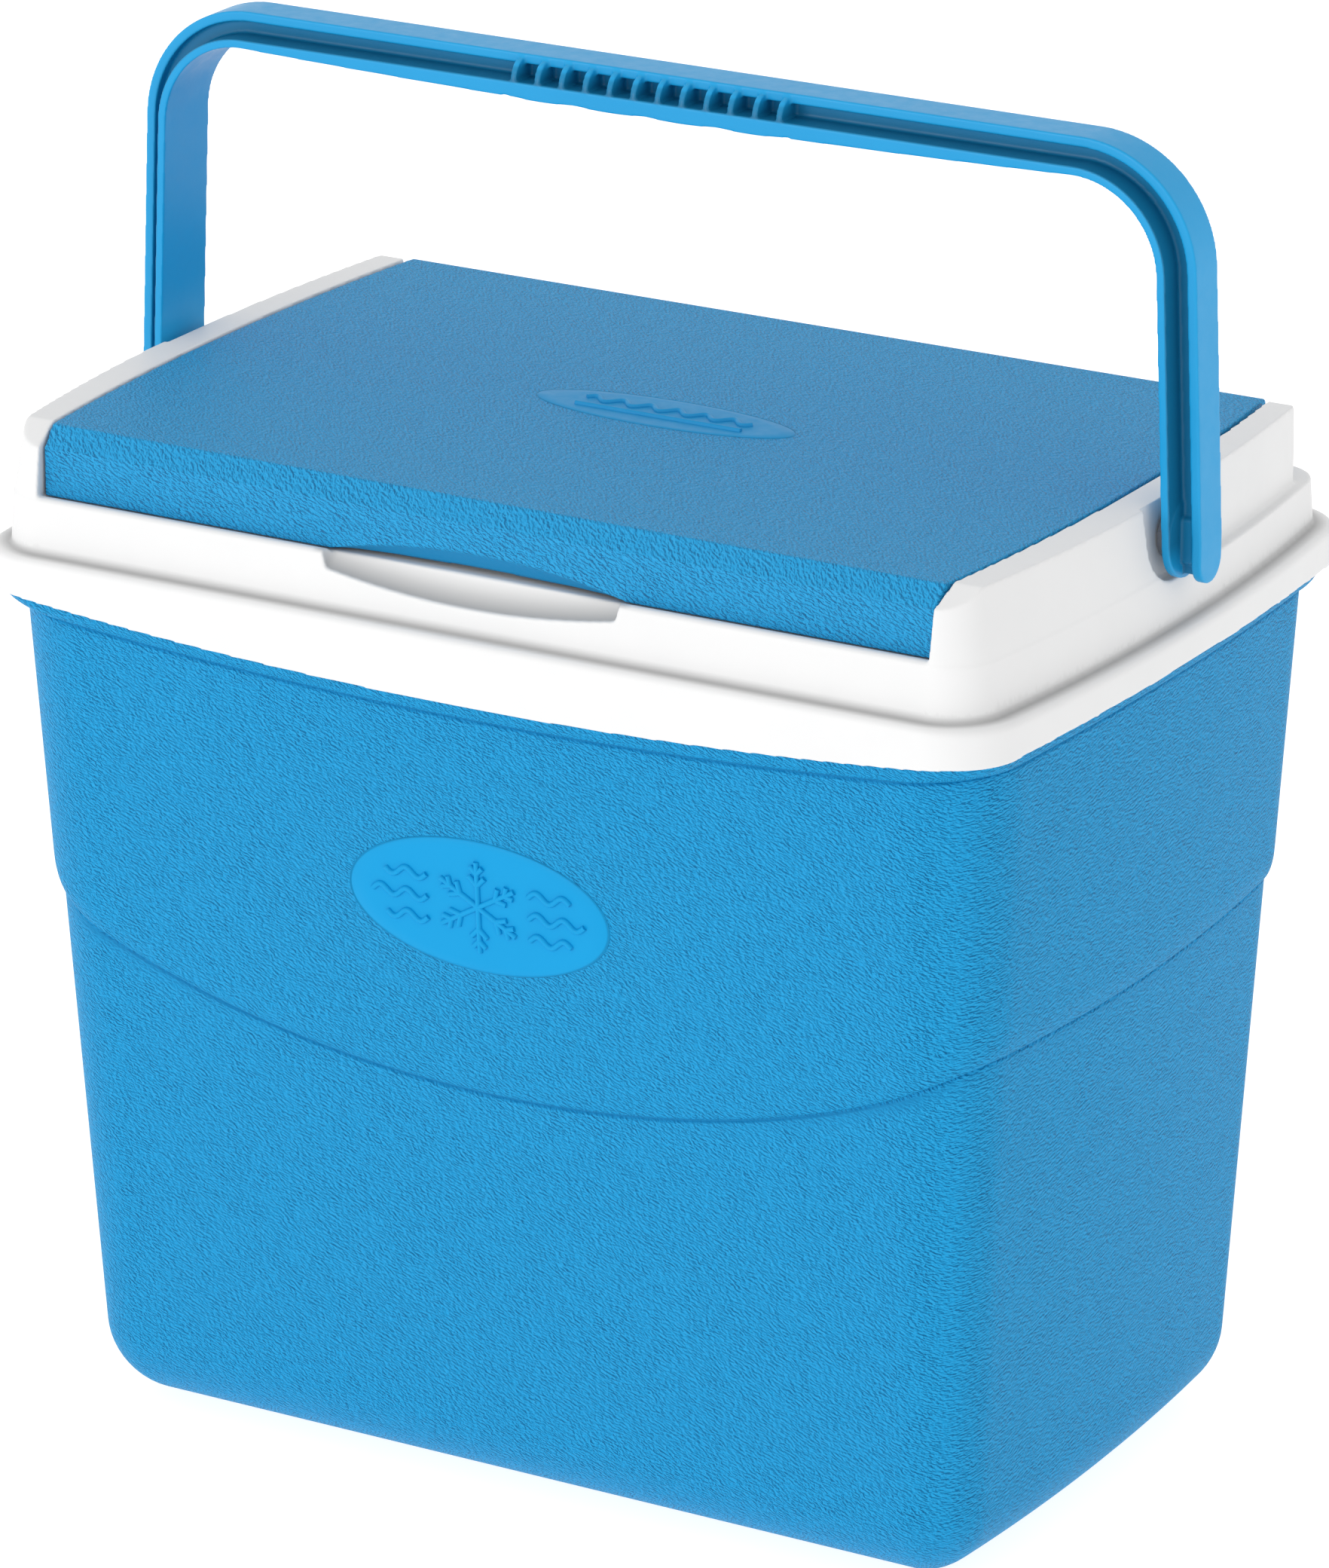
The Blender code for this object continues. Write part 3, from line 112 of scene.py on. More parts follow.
HANDLE_TOP_Z, HANDLE_AXIS_Y, HANDLE_AXIS_Z = handle_high.z, 0.0004, 0.2936
HANDLE_FOOT_HALF_X, HANDLE_LEAN, HANDLE_CORNER = handle_high.x, 0.043, 0.036
HANDLE_THICKNESS, HANDLE_GRIP_EXTRA = 0.0096, 0.0022
INNER_FLANGE_HALF, INNER_FLANGE = 0.0117, 0.0025
OUTER_FLANGE_HALF, OUTER_FLANGE = 0.0066, 0.0029
WEB_FRONT, WEB_BACK = -0.0033, 0.0003
OUTER_FLANGE_END_Z = 0.2813
BOSS_FRONT, WEB_TAIL = -0.0048, 0.0098
FINGER_PITCH, FINGER_COUNT, FINGER_DEPTH = 0.0230, 4, 0.0006
RIB_COUNT, RIB_PITCH, RIB_THICKNESS, RIB_ROOT = 12, 0.0078, 0.0018, 0.0012
PIVOT_RADIUS, PIVOT_BOSS_RADIUS, PIVOT_IN_RAIL, PIVOT_IN_LEG = 0.0040, 0.0078, 0.0062, 0.0058

# cutters reach past what they cut
CUT_FAR, CUT_LOW_Z, CUT_HIGH_Z = 0.2, 0.25, 0.35
OVERRUN, LID_PLAN_REACH, FACET_REACH = 1.2, 0.02, 0.02
RECESS_CUT_X, RECESS_CUT_REAR_Y, RECESS_CUT_TOP_Z = (0.140, 0.180), 0.13, 0.32
RECESS_CORE_Z, SCOOP_CUT_TOP_Z, PIVOT_HOLE_END_X = (0.27, 0.33), 0.2925, 0.168

# edge length of the voxel skin on each moulding
FRAME_VOXEL, LID_VOXEL, PAN_VOXEL, HANDLE_VOXEL = 0.00052, 0.0005, 0.0008, 0.0004

# points round an outline: along a long face, along a short side, in a corner
FINE = (150, 90, 20)
MEDIUM = (40, 24, 12)


# ---- outlines
def mix(a, b, t):
    return a + (b - a) * t


def outline(size, centre_y=0.0, sampling=FINE):
    """Rounded rectangle with bowed short sides; the sizes may be arrays, one value a point."""
    long_steps, side_steps, corner_steps = sampling
    kinds = [(0, i / side_steps) for i in range(side_steps + 1)]
    kinds += [(1, i / corner_steps) for i in range(1, corner_steps + 1)]
    kinds += [(2, i / long_steps) for i in range(1, long_steps)]
    kinds += [(3, i / corner_steps) for i in range(corner_steps)]
    kind = np.array([k for k, _ in kinds] * 2)
    t = np.array([t for _, t in kinds] * 2)
    turn = np.repeat([1.0, -1.0], len(kinds))
    half_x, half_y, corner, bow = (np.broadcast_to(value, t.shape) for value in size)
    inner_x, inner_y = half_x - corner, half_y - corner
    inner_bow = bow * (inner_y / half_y) ** 2
    end_x = inner_x - inner_bow
    start = np.arctan(2 * inner_bow / inner_y)
    side_y = mix(-inner_y, inner_y, t)
    slope = -2 * inner_bow * side_y / inner_y**2
    length = np.hypot(1.0, slope)
    near = mix(start, math.pi / 2, t)
    far = mix(math.pi / 2, math.pi - start, t)
    x = np.choose(kind, [inner_x - inner_bow * (side_y / inner_y) ** 2 + corner / length,
                         end_x + corner * np.cos(near), mix(end_x, -end_x, t),
                         -end_x + corner * np.cos(far)])
    y = np.choose(kind, [side_y - corner * slope / length, inner_y + corner * np.sin(near),
                         half_y, inner_y + corner * np.sin(far)])
    return x * turn, y * turn + centre_y


def ring(size, z, inset=0.0, centre_y=0.0, sampling=FINE):
    """Points of an outline drawn in by `inset`; z is a number or a function of x and y."""
    half_x, half_y, corner, bow = size
    corner = np.maximum(corner - inset, 0.0015)
    x, y = outline((half_x - inset, half_y - inset, corner, bow), centre_y, sampling)
    height = z(x, y) if callable(z) else np.full_like(x, z)
    return np.stack([x, y, height], axis=1)


def loft(rings, closed=False):
    """bmesh skin over rings of equal length, capped at both ends unless closed on itself."""
    bm = bmesh.new()
    loops = [[bm.verts.new(point) for point in points] for points in rings]
    pairs = list(zip(loops, loops[1:]))
    if closed:
        pairs.append((loops[-1], loops[0]))
    count = len(loops[0])
    for low, high in pairs:
        for i in range(count):
            j = (i + 1) % count
            bm.faces.new((low[i], low[j], high[j], high[i]))
    if not closed:
        bm.faces.new(list(reversed(loops[0])))
        bm.faces.new(loops[-1])
    return bm


def to_object(name, bm, smooth=True):
    bmesh.ops.recalc_face_normals(bm, faces=bm.faces)
    mesh = bpy.data.meshes.new(name)
    bm.to_mesh(mesh)
    bm.free()
    obj = bpy.data.objects.new(name, mesh)
    scene.collection.objects.link(obj)
    return shade_smooth(obj) if smooth else obj


def shade_smooth(obj):
    obj.data.polygons.foreach_set("use_smooth", [True] * len(obj.data.polygons))
    return obj


def rod(bm, radius, start, end, segments=64):
    start, end = Vector(start), Vector(end)
    axis = end - start
    turn = axis.to_track_quat("Z", "Y").to_matrix().to_4x4()
    bmesh.ops.create_cone(bm, cap_ends=True, segments=segments, radius1=radius, radius2=radius,
                          depth=axis.length, matrix=Matrix.Translation((start + end) / 2) @ turn)
    return bm


def block(low, high):
    bm = bmesh.new()
    low, high = Vector(low), Vector(high)
    place = Matrix.Translation((low + high) / 2) @ Matrix.Diagonal((*(high - low), 1.0))
    bmesh.ops.create_cube(bm, size=1.0, matrix=place)
    return bm


def side_rod(bm, way, radius, near_x, far_x, y, z, segments=64):
    """Rod between two distances from the middle, on the side that `way` gives."""
    return rod(bm, radius, (way * near_x, y, z), (way * far_x, y, z), segments)


def side_block(way, near_x, far_x, low, high):
    low_x, high_x = sorted((way * near_x, way * far_x))
    return block((low_x, *low), (high_x, *high))


def prism_x(profile, low_x, high_x):
    return loft([[(x, y, z) for y, z in profile] for x in (low_x, high_x)])


# ---- moulding
def evaluated_mesh(obj):
    graph = bpy.context.evaluated_depsgraph_get()
    graph.update()
    return bpy.data.meshes.new_from_object(obj.evaluated_get(graph))


def bake(obj):
    """Turn the object's modifiers into plain mesh."""
    mesh = evaluated_mesh(obj)
    old = obj.data
    obj.modifiers.clear()
    obj.data = mesh
    bpy.data.meshes.remove(old)


def combine(obj, steps):
    """Apply (operation, bmesh) steps in turn and remove the helpers."""
    for operation, bm in steps:
        helper = bm if isinstance(bm, bpy.types.Object) else to_object("helper", bm, False)
        modifier = obj.modifiers.new(operation, "BOOLEAN")
        modifier.operation = operation
        modifier.solver = "EXACT"
        modifier.object = helper
        bake(obj)
        bpy.data.objects.remove(helper)
    return obj


def moulded(obj, voxel, rounding, keep=1.0):
    """Round every edge of a solid the way a mould does: voxel skin, smoothed, then thinned."""
    remesh = obj.modifiers.new("skin", "REMESH")
    remesh.mode = "VOXEL"
    remesh.voxel_size = voxel
    remesh.use_smooth_shade = True
    smooth = obj.modifiers.new("round", "SMOOTH")
    smooth.factor = 0.5
    smooth.iterations = rounding
    if keep < 1.0:
        thin = obj.modifiers.new("thin", "DECIMATE")
        thin.ratio = keep
    bake(obj)
    return shade_smooth(obj)


# ---- materials
def shader_material(name, roughness, specular=0.5):
    material = bpy.data.materials.new(name)
    material.use_nodes = True
    tree = material.node_tree
    principled = tree.nodes["Principled BSDF"]
    principled.inputs["Roughness"].default_value = roughness
    principled.inputs["Specular IOR Level"].default_value = specular
    return material, tree, principled


class Nodes:
    """Short forms for wiring shader nodes."""

    def __init__(self, tree):
        self.tree = tree

    def add(self, kind, **settings):
        node = self.tree.nodes.new(kind)
        for key, value in settings.items():
            setattr(node, key, value)
        return node

    def link(self, source, target):
        self.tree.links.new(source, target)

    def fill(self, socket, value):
        if isinstance(value, bpy.types.NodeSocket):
            self.link(value, socket)
        else:
            socket.default_value = value

    def math(self, operation, a, b=0.0, clamp=False):
        node = self.add("ShaderNodeMath", operation=operation, use_clamp=clamp)
        self.fill(node.inputs[0], a)
        self.fill(node.inputs[1], b)
        return node.outputs[0]

    def map_range(self, value, low, high, to_low, to_high):
        node = self.add("ShaderNodeMapRange")
        for socket, number in zip(node.inputs[1:5], (low, high, to_low, to_high)):
            socket.default_value = number
        self.link(value, node.inputs[0])
        return node.outputs[0]

    def noise(self, vector, scale, detail=2.0, rough=0.5, distortion=0.0):
        node = self.add("ShaderNodeTexNoise")
        self.link(vector, node.inputs["Vector"])
        node.inputs["Scale"].default_value = scale
        node.inputs["Detail"].default_value = detail
        node.inputs["Roughness"].default_value = rough
        node.inputs["Distortion"].default_value = distortion
        return node.outputs["Fac"]

    def colour_mix(self, factor, a, b):
        node = self.add("ShaderNodeMix", data_type="RGBA")
        self.fill(node.inputs[0], factor)
        for socket, value in ((node.inputs[6], a), (node.inputs[7], b)):
            plain = not isinstance(value, bpy.types.NodeSocket)
            self.fill(socket, (*value, 1.0) if plain else value)
        return node.outputs[2]

    def bump(self, height, distance, strength=1.0, normal=None):
        node = self.add("ShaderNodeBump")
        node.inputs["Strength"].default_value = strength
        node.inputs["Distance"].default_value = distance
        self.link(height, node.inputs["Height"])
        if normal:
            self.link(normal, node.inputs["Normal"])
        return node.outputs["Normal"]


def grain_field(nodes_, axes, angle, stretch, scale, coords):
    """Wrinkles in the plane of two axes, drawn out along a line at `angle` degrees; also the height
    difference across a fixed offset, a one-sided slope that the colour uses as painted shade and
    painted highlight on the wrinkles.
    """
    split = nodes_.add("ShaderNodeSeparateXYZ")
    nodes_.link(coords, split.inputs[0])
    join = nodes_.add("ShaderNodeCombineXYZ")
    nodes_.link(split.outputs[axes[0]], join.inputs[0])
    nodes_.link(split.outputs[axes[1]], join.inputs[1])
    turn = nodes_.add("ShaderNodeMapping", vector_type="POINT")
    turn.inputs["Rotation"].default_value = (0, 0, -math.radians(angle))
    nodes_.link(join.outputs[0], turn.inputs["Vector"])
    heights = []
    for offset in (0.0, 0.34):
        squeeze = nodes_.add("ShaderNodeMapping", vector_type="POINT")
        squeeze.inputs["Scale"].default_value = (scale / stretch, scale, scale)
        squeeze.inputs["Location"].default_value = (offset * 0.3, offset, 0.0)
        nodes_.link(turn.outputs[0], squeeze.inputs["Vector"])
        heights.append(nodes_.noise(squeeze.outputs[0], 1.0, 2.5, 0.55, 0.45))
    return heights[0], nodes_.math("SUBTRACT", heights[0], heights[1])


def blend_fields(n, facing, fields, which):
    """Front, side and top fields blended by the way the surface faces."""
    to_side = n.map_range(n.math("ABSOLUTE", facing.outputs[0]), 0.45, 0.85, 0.0, 1.0)
    to_top = n.map_range(n.math("ABSOLUTE", facing.outputs[2]), 0.55, 0.85, 0.0, 1.0)
    value = fields[0][which]
    for factor, field in ((to_side, fields[1]), (to_top, fields[2])):
        blend = n.add("ShaderNodeMix", data_type="FLOAT")
        for socket, source in zip((blend.inputs[0], blend.inputs[2], blend.inputs[3]),
                                  (factor, value, field[which])):
            n.link(source, socket)
        value = blend.outputs[0]
    return value


# the two axes of a field, the angle that its grain runs at, and how much finer it is
GRAIN_FIELDS = (((0, 2), -22.0, 1.0), ((1, 2), 14.0, 1.0), ((0, 1), -36.0, 1.15))


def textured_blue(name, colour, light, dark, scale, depth, specular):
    """Moulded leather-like grain, laid on from the front, the side and the top, with painted shade
    and painted highlight on the wrinkles' edges and painted shade in the marked hollows.
    """
    material, tree, principled = shader_material(name, 0.5, specular)
    n = Nodes(tree)
    place = n.add("ShaderNodeTexCoord")
    coords = place.outputs["Object"]
    facing = n.add("ShaderNodeSeparateXYZ")
    n.link(place.outputs["Normal"], facing.inputs[0])
    fields = [grain_field(n, axes, angle, 2.3, scale * finer, coords)
              for axes, angle, finer in GRAIN_FIELDS]
    height = blend_fields(n, facing, fields, 0)
    relief = blend_fields(n, facing, fields, 1)
    # stored painted-shade mask: the colour darkens there and the grain is left out
    painted_shade = n.add("ShaderNodeAttribute", attribute_name="painted_shade").outputs["Fac"]
    plain = n.math("SUBTRACT", 1.0, painted_shade, True)
    calm = n.map_range(facing.outputs[2], 0.6, 0.9, 1.0, 0.8)
    patch = n.map_range(n.noise(coords, 210.0, 3.0, 0.6), 0.32, 0.62, 0.6, 1.0)
    # painted shade on one side of each wrinkle, weaker on faces turned up, and painted highlight on
    # the other side, both from the height slope
    painted_wrinkle_shade = n.math("MULTIPLY", n.math("MULTIPLY", n.map_range(relief, 0.004, 0.075, 0.0, 1.0),
                                       patch), n.math("MULTIPLY", plain, calm))
    painted_wrinkle_highlight = n.math("MULTIPLY", n.map_range(relief, -0.01, -0.09, 0.0, 0.7), plain)
    tone = n.colour_mix(n.math("ADD", painted_wrinkle_shade, n.math("MULTIPLY", painted_shade, 0.55), True),
                        colour, dark)
    n.link(n.colour_mix(painted_wrinkle_highlight, tone, light), principled.inputs["Base Color"])
    n.link(n.map_range(height, 0.3, 0.7, 0.60, 0.44), principled.inputs["Roughness"])
    fine = n.noise(coords, 2600.0, 2.0, 0.5)
    fine_normal = n.bump(fine, 0.00002, 0.5)
    level = n.math("MULTIPLY", n.map_range(height, 0.30, 0.64, 0.0, 1.0), plain)
    n.link(n.bump(level, depth, 1.0, fine_normal), principled.inputs["Normal"])
    return material


def smooth_plastic(name, colour, shade, roughness, specular=0.5, mottle=40.0, depth=0.00002,
                   shade_factor=0.36):
    """Polished moulding: faint cloudiness, slightly uneven gloss and a fine orange peel, with
    painted shade where the stored mask is set.
    """
    material, tree, principled = shader_material(name, roughness, specular)
    n = Nodes(tree)
    coords = n.add("ShaderNodeTexCoord").outputs["Object"]
    cloud = n.noise(coords, mottle, 4.0, 0.55)
    # painted shade: the colour darkens by a fixed share where the stored mask is set
    recess = n.add("ShaderNodeAttribute", attribute_name="painted_shade").outputs["Fac"]
    tone = n.colour_mix(n.map_range(cloud, 0.35, 0.7, 0.0, 1.0), colour, shade)
    shaded_colour = [channel * shade_factor for channel in colour]
    n.link(n.colour_mix(n.math("MULTIPLY", recess, 0.9, True), tone, shaded_colour),
           principled.inputs["Base Color"])
    gloss = n.noise(coords, mottle * 6, 3.0, 0.6)
    n.link(n.map_range(gloss, 0.3, 0.7, roughness - 0.05, roughness + 0.06),
           principled.inputs["Roughness"])
    peel = n.noise(coords, 900.0, 2.0, 0.5)
    n.link(n.bump(peel, depth, 0.6), principled.inputs["Normal"])
    return material


def foam_material(name):
    material, tree, principled = shader_material(name, 0.9, 0.2)
    n = Nodes(tree)
    coords = n.add("ShaderNodeTexCoord").outputs["Object"]
    cells = n.add("ShaderNodeTexVoronoi", feature="F1")
    cells.inputs["Scale"].default_value = 520.0
    n.link(coords, cells.inputs["Vector"])
    tint = n.noise(coords, 30.0, 4.0, 0.6)
    n.link(n.colour_mix(n.map_range(tint, 0.3, 0.7, 0.0, 1.0), (0.86, 0.80, 0.60),
                        (0.74, 0.66, 0.44)), principled.inputs["Base Color"])
    n.link(n.bump(cells.outputs["Distance"], 0.0004, 0.8), principled.inputs["Normal"])
    return material


BLUE = (0.008, 0.292, 0.600)
# painted highlight and painted shade colours for the grain's wrinkles and the shaded seams
BLUE_PAINTED_HIGHLIGHT = (0.022, 0.350, 0.680)
BLUE_PAINTED_SHADE = (0.001, 0.120, 0.285)
body_blue = textured_blue("body_grain_blue", BLUE, BLUE_PAINTED_HIGHLIGHT, BLUE_PAINTED_SHADE, 1480.0, 0.00026, 0.12)
lid_blue = textured_blue("lid_grain_blue", BLUE, BLUE_PAINTED_HIGHLIGHT, BLUE_PAINTED_SHADE, 1300.0, 0.00028, 0.24)
badge_blue = smooth_plastic("badge_blue", (0.004, 0.302, 0.625), (0.004, 0.292, 0.610), 0.42, 0.12)
lid_badge_blue = smooth_plastic("lid_badge_blue", (0.010, 0.280, 0.570), (0.009, 0.270, 0.556), 0.5,
                                0.25)
handle_blue = smooth_plastic("handle_blue", (0.010, 0.318, 0.640), (0.009, 0.306, 0.622), 0.36, 0.25)
white = smooth_plastic("frame_white", (0.757, 0.757, 0.757), (0.742, 0.743, 0.744), 0.42, 0.2,
                       shade_factor=0.5)
liner_white = smooth_plastic("liner_white_gloss", (0.80, 0.805, 0.81), (0.78, 0.785, 0.79), 0.30)
seal = smooth_plastic("seal_rubber_grey", (0.30, 0.31, 0.32), (0.25, 0.26, 0.27), 0.62, 0.3,
                      120.0, 0.00005)
pin_grey = smooth_plastic("pin_grey_plastic", (0.20, 0.21, 0.23), (0.16, 0.17, 0.19), 0.42)
foam = foam_material("insulation_foam_cells")


def dress(obj, material):
    obj.data.materials.clear()
    obj.data.materials.append(material)
    return obj


def piece(obj, material, body, slot, *stands_for):
    dress(obj, material)
    if stands_for:
        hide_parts(*stands_for)
    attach(obj, body)
    return obj


# ---- tub
def body_size(z):
    t = z / BODY_TOP_Z
    return (mix(BASE_HALF[0], BODY_HALF[0], t), mix(BASE_HALF[1], BODY_HALF[1], t),
            mix(BASE_CORNER, BODY_CORNER, t), mix(BASE_BOW, BODY_BOW, t))


def body_ring(z, inset=0.0):
    """Ring on the tapered wall; z may be a function of x and y."""
    if not callable(z):
        return ring(body_size(z), z, inset)
    x, y = outline(body_size(BODY_TOP_Z))
    height = z(x, y)
    points = ring(body_size(height), 0.0, inset)
    points[:, 2] = height
    return points


def step_height(x, y):
    sag = STEP_RADIUS - np.sqrt(STEP_RADIUS**2 - x * x)
    corner = (x / BODY_HALF[0]) ** 4 * (y / BODY_HALF[1]) ** 2
    return STEP_LOW_Z - 0.002 + sag + STEP_CORNER_RISE * corner


def collar_edge(x, y):
    """Height of the collar's arched lower edge."""
    straight_x = COLLAR_HALF_X - COLLAR_BOW - COLLAR_CORNER / 2
    straight_y = COLLAR_HALF_Y - COLLAR_CORNER / 2
    long_side = np.abs(y) > COLLAR_HALF_Y - COLLAR_CORNER * 0.9
    dip = COLLAR_FRONT_DIP * np.maximum(0.0, 1 - (x / straight_x) ** 2)
    lift = COLLAR_SIDE_LIFT * np.maximum(0.0, 1 - (y / straight_y) ** 2)
    return COLLAR_EDGE_Z + np.where(long_side, -dip, lift)


def collar_size(inset=0.0):
    return (COLLAR_HALF_X - inset, COLLAR_HALF_Y - inset, COLLAR_CORNER - inset, COLLAR_BOW)


def fillet_rings(inset, base_z, steps):
    radius = BASE_FILLET - inset
    rings = []
    for i in range(steps):
        angle = math.pi / 2 * i / steps
        z = base_z + radius * (1 - math.cos(angle))
        rings.append(ring(body_size(z), z, inset + radius * (1 - math.sin(angle))))
    return rings


def nose(t):
    """Quarter-round profile: leaves at right angles, ends level."""
    return math.sqrt(max(0.0, 1 - (1 - t) ** 2))


def make_shell():
    flare = collar_size(COLLAR_WALL + GAP)
    rim_z = COLLAR_TOP_Z - COLLAR_WALL - GAP
    panel = BASE_FILLET + FOOT_WIDTH
    proud = -STEP_PROUD
    wall = SHELL_WALL
    rings = [ring(body_size(0), FOOT_RISE, panel + FOOT_RISE),
             ring(body_size(0), 0.0006, panel + 0.0004), ring(body_size(0), 0.0, panel - 0.0006),
             *fillet_rings(0.0, 0.0, 16)]
    for i in range(26):
        t = i / 25
        rings.append(body_ring(lambda x, y: mix(BASE_FILLET, step_height(x, y) - SEAM_BELOW, t)))
    for lift, depth in GROOVE:
        rings.append(body_ring(lambda x, y: step_height(x, y) + lift, depth))
    for i in range(15):
        t = ((i + 1) / 15) ** 2
        rings.append(body_ring(lambda x, y: step_height(x, y) + SEAM_ABOVE + STEP_NOSE * t,
                               proud * nose(t)))
    for i in range(1, 27):
        t = i / 26
        rings.append(body_ring(lambda x, y: mix(step_height(x, y) + STEP_NOSE,
                                                collar_edge(x, y) - FLARE_HEIGHT - FLARE_SEAM, t),
                               proud))
    for lift, depth in GROOVE:
        rings.append(body_ring(lambda x, y: collar_edge(x, y) - FLARE_HEIGHT - SEAM_ABOVE + lift,
                               proud + depth * 0.8))
    for i in range(13):
        t = ((i + 1) / 13) ** 2
        low = body_ring(lambda x, y: collar_edge(x, y) - FLARE_HEIGHT * (1 - t), proud)
        high = ring(flare, lambda x, y: collar_edge(x, y) - FLARE_HEIGHT * (1 - t))
        rings.append(mix(low, high, nose(t)))
    rings += [ring(flare, lambda x, y: collar_edge(x, y) + FLARE_OVERLAP),
              ring(flare, rim_z), ring(flare, rim_z, wall),
              ring(flare, lambda x, y: collar_edge(x, y) + FLARE_OVERLAP, wall),
              body_ring(lambda x, y: collar_edge(x, y) - FLARE_HEIGHT, proud + wall),
              body_ring(lambda x, y: step_height(x, y) + STEP_NOSE, proud + wall),
              body_ring(step_height, wall), body_ring(BASE_FILLET, wall)]
    rings += reversed(fillet_rings(wall, FOOT_RISE + wall, 4))
    shell = to_object("body_shell", loft(rings))
    hole = rod(bmesh.new(), FILL_HOLE_RADIUS, (0, 0, -0.01), (0, 0, FOOT_RISE + wall + 0.005))
    combine(shell, [("DIFFERENCE", hole)])
    shade_smooth(shell)
    paint_seam_shade(shell)
    return shell


def paint_seam_shade(shell):
    """Store painted shade along the two moulded lines round the tub, by how close each point lies to
    them.
    """
    mesh = shell.data
    x, y, z = vertex_points(mesh)
    near_step = 1 - np.abs(z - step_height(x, y) + 0.0001) / SEAM_SHADE
    near_flare = 1 - np.abs(z - collar_edge(x, y) + FLARE_HEIGHT + 0.0004) / SEAM_SHADE
    store_painted_shade(mesh, np.maximum(near_step, near_flare))


def vertex_points(mesh):
    points = np.zeros(len(mesh.vertices) * 3, np.float32)
    mesh.vertices.foreach_get("co", points)
    return points.reshape(-1, 3).T.astype(float)


# stores the painted-shade mask that the materials darken by
def store_painted_shade(mesh, value):
    layer = mesh.attributes.new("painted_shade", "FLOAT", "POINT")
    layer.data.foreach_set("value", np.clip(value, 0.0, 1.0).astype(np.float32))


def liner_size(z, grow=0.0):
    t = (z - LINER_FLOOR_Z) / (MOUTH_LIP_Z - LINER_FLOOR_Z)
    size = (mix(LINER_FLOOR_HALF[0], MOUTH[0], t) + grow,
            mix(LINER_FLOOR_HALF[1], MOUTH[1], t) + grow, MOUTH[2] + grow, MOUTH[3])
    return size, mix(LINER_FLOOR_CENTRE_Y, MOUTH_CENTRE_Y, t)


def liner_rings(grow, top_z, floor_z):
    rings = []
    for z in np.linspace(top_z, floor_z + LINER_FILLET, 8):
        size, centre = liner_size(z, grow)
        rings.append(ring(size, z, 0.0, centre, MEDIUM))
    for i in range(1, 9):
        angle = math.pi / 2 * i / 8
        z = floor_z + LINER_FILLET * (1 - math.sin(angle))
        size, centre = liner_size(z, grow)
        rings.append(ring(size, z, LINER_FILLET * (1 - math.cos(angle)), centre, MEDIUM))
    return rings


def make_liner():
    top = MOUTH_LIP_Z - GAP
    inside = liner_rings(0.0, top, LINER_FLOOR_Z)
    outside = liner_rings(LINER_WALL, top - LINER_WALL, LINER_FLOOR_Z - LINER_WALL)
    size, centre = liner_size(MOUTH_LIP_Z, LINER_FLANGE)
    flange = [ring(size, top - LINER_WALL, 0.0, centre, MEDIUM),
              ring(size, top, 0.0, centre, MEDIUM)]
    return to_object("liner_tub", loft(list(reversed(outside)) + flange + inside))


# ---- top frame
def mouth_ring(z, inset=0.0, sampling=FINE):
    return ring(MOUTH, z, inset, MOUTH_CENTRE_Y, sampling)


def lid_pin_span():
    rail_inner = RAIL_INNER_HALF_X - RAIL_INNER_BOW * (LID_AXIS_Y / COLLAR_HALF_Y) ** 2
    return rail_inner - LID_PIN_IN_LID, rail_inner + LID_PIN_IN_RAIL


def recess_wall_x(z):
    share = (z - RECESS_FLOOR_Z) / (RAIL_TOP_Z - RECESS_FLOOR_Z)
    return mix(RECESS_LOW_HALF_X, RECESS_TOP_HALF_X, share)


def handle_inner_x():
    return HANDLE_FOOT_HALF_X - HANDLE_THICKNESS


def handle_pin_span():
    return recess_wall_x(HANDLE_AXIS_Z) - PIVOT_IN_RAIL, handle_inner_x() + PIVOT_IN_LEG


def make_recess(side):
    arc = []
    for i in range(17):
        angle = math.pi + math.pi / 2 * i / 16
        arc.append((RECESS_FRONT_Y + RECESS_CORNER * (1 + math.cos(angle)),
                    RECESS_FLOOR_Z + RECESS_CORNER * (1 + math.sin(angle))))
    profile = [(RECESS_FRONT_Y, RECESS_CUT_TOP_Z), *arc, (RECESS_CUT_REAR_Y, RECESS_FLOOR_Z),
               (RECESS_CUT_REAR_Y, RECESS_CUT_TOP_Z)]
    slot = to_object("recess", prism_x(profile, *(side * x for x in RECESS_CUT_X)), False)
    core = [ring((recess_wall_x(z), COLLAR_HALF_Y * OVERRUN, 0.012,
                  COLLAR_BOW * OVERRUN**2), z) for z in RECESS_CORE_Z]
    return combine(slot, [("DIFFERENCE", loft(core))])


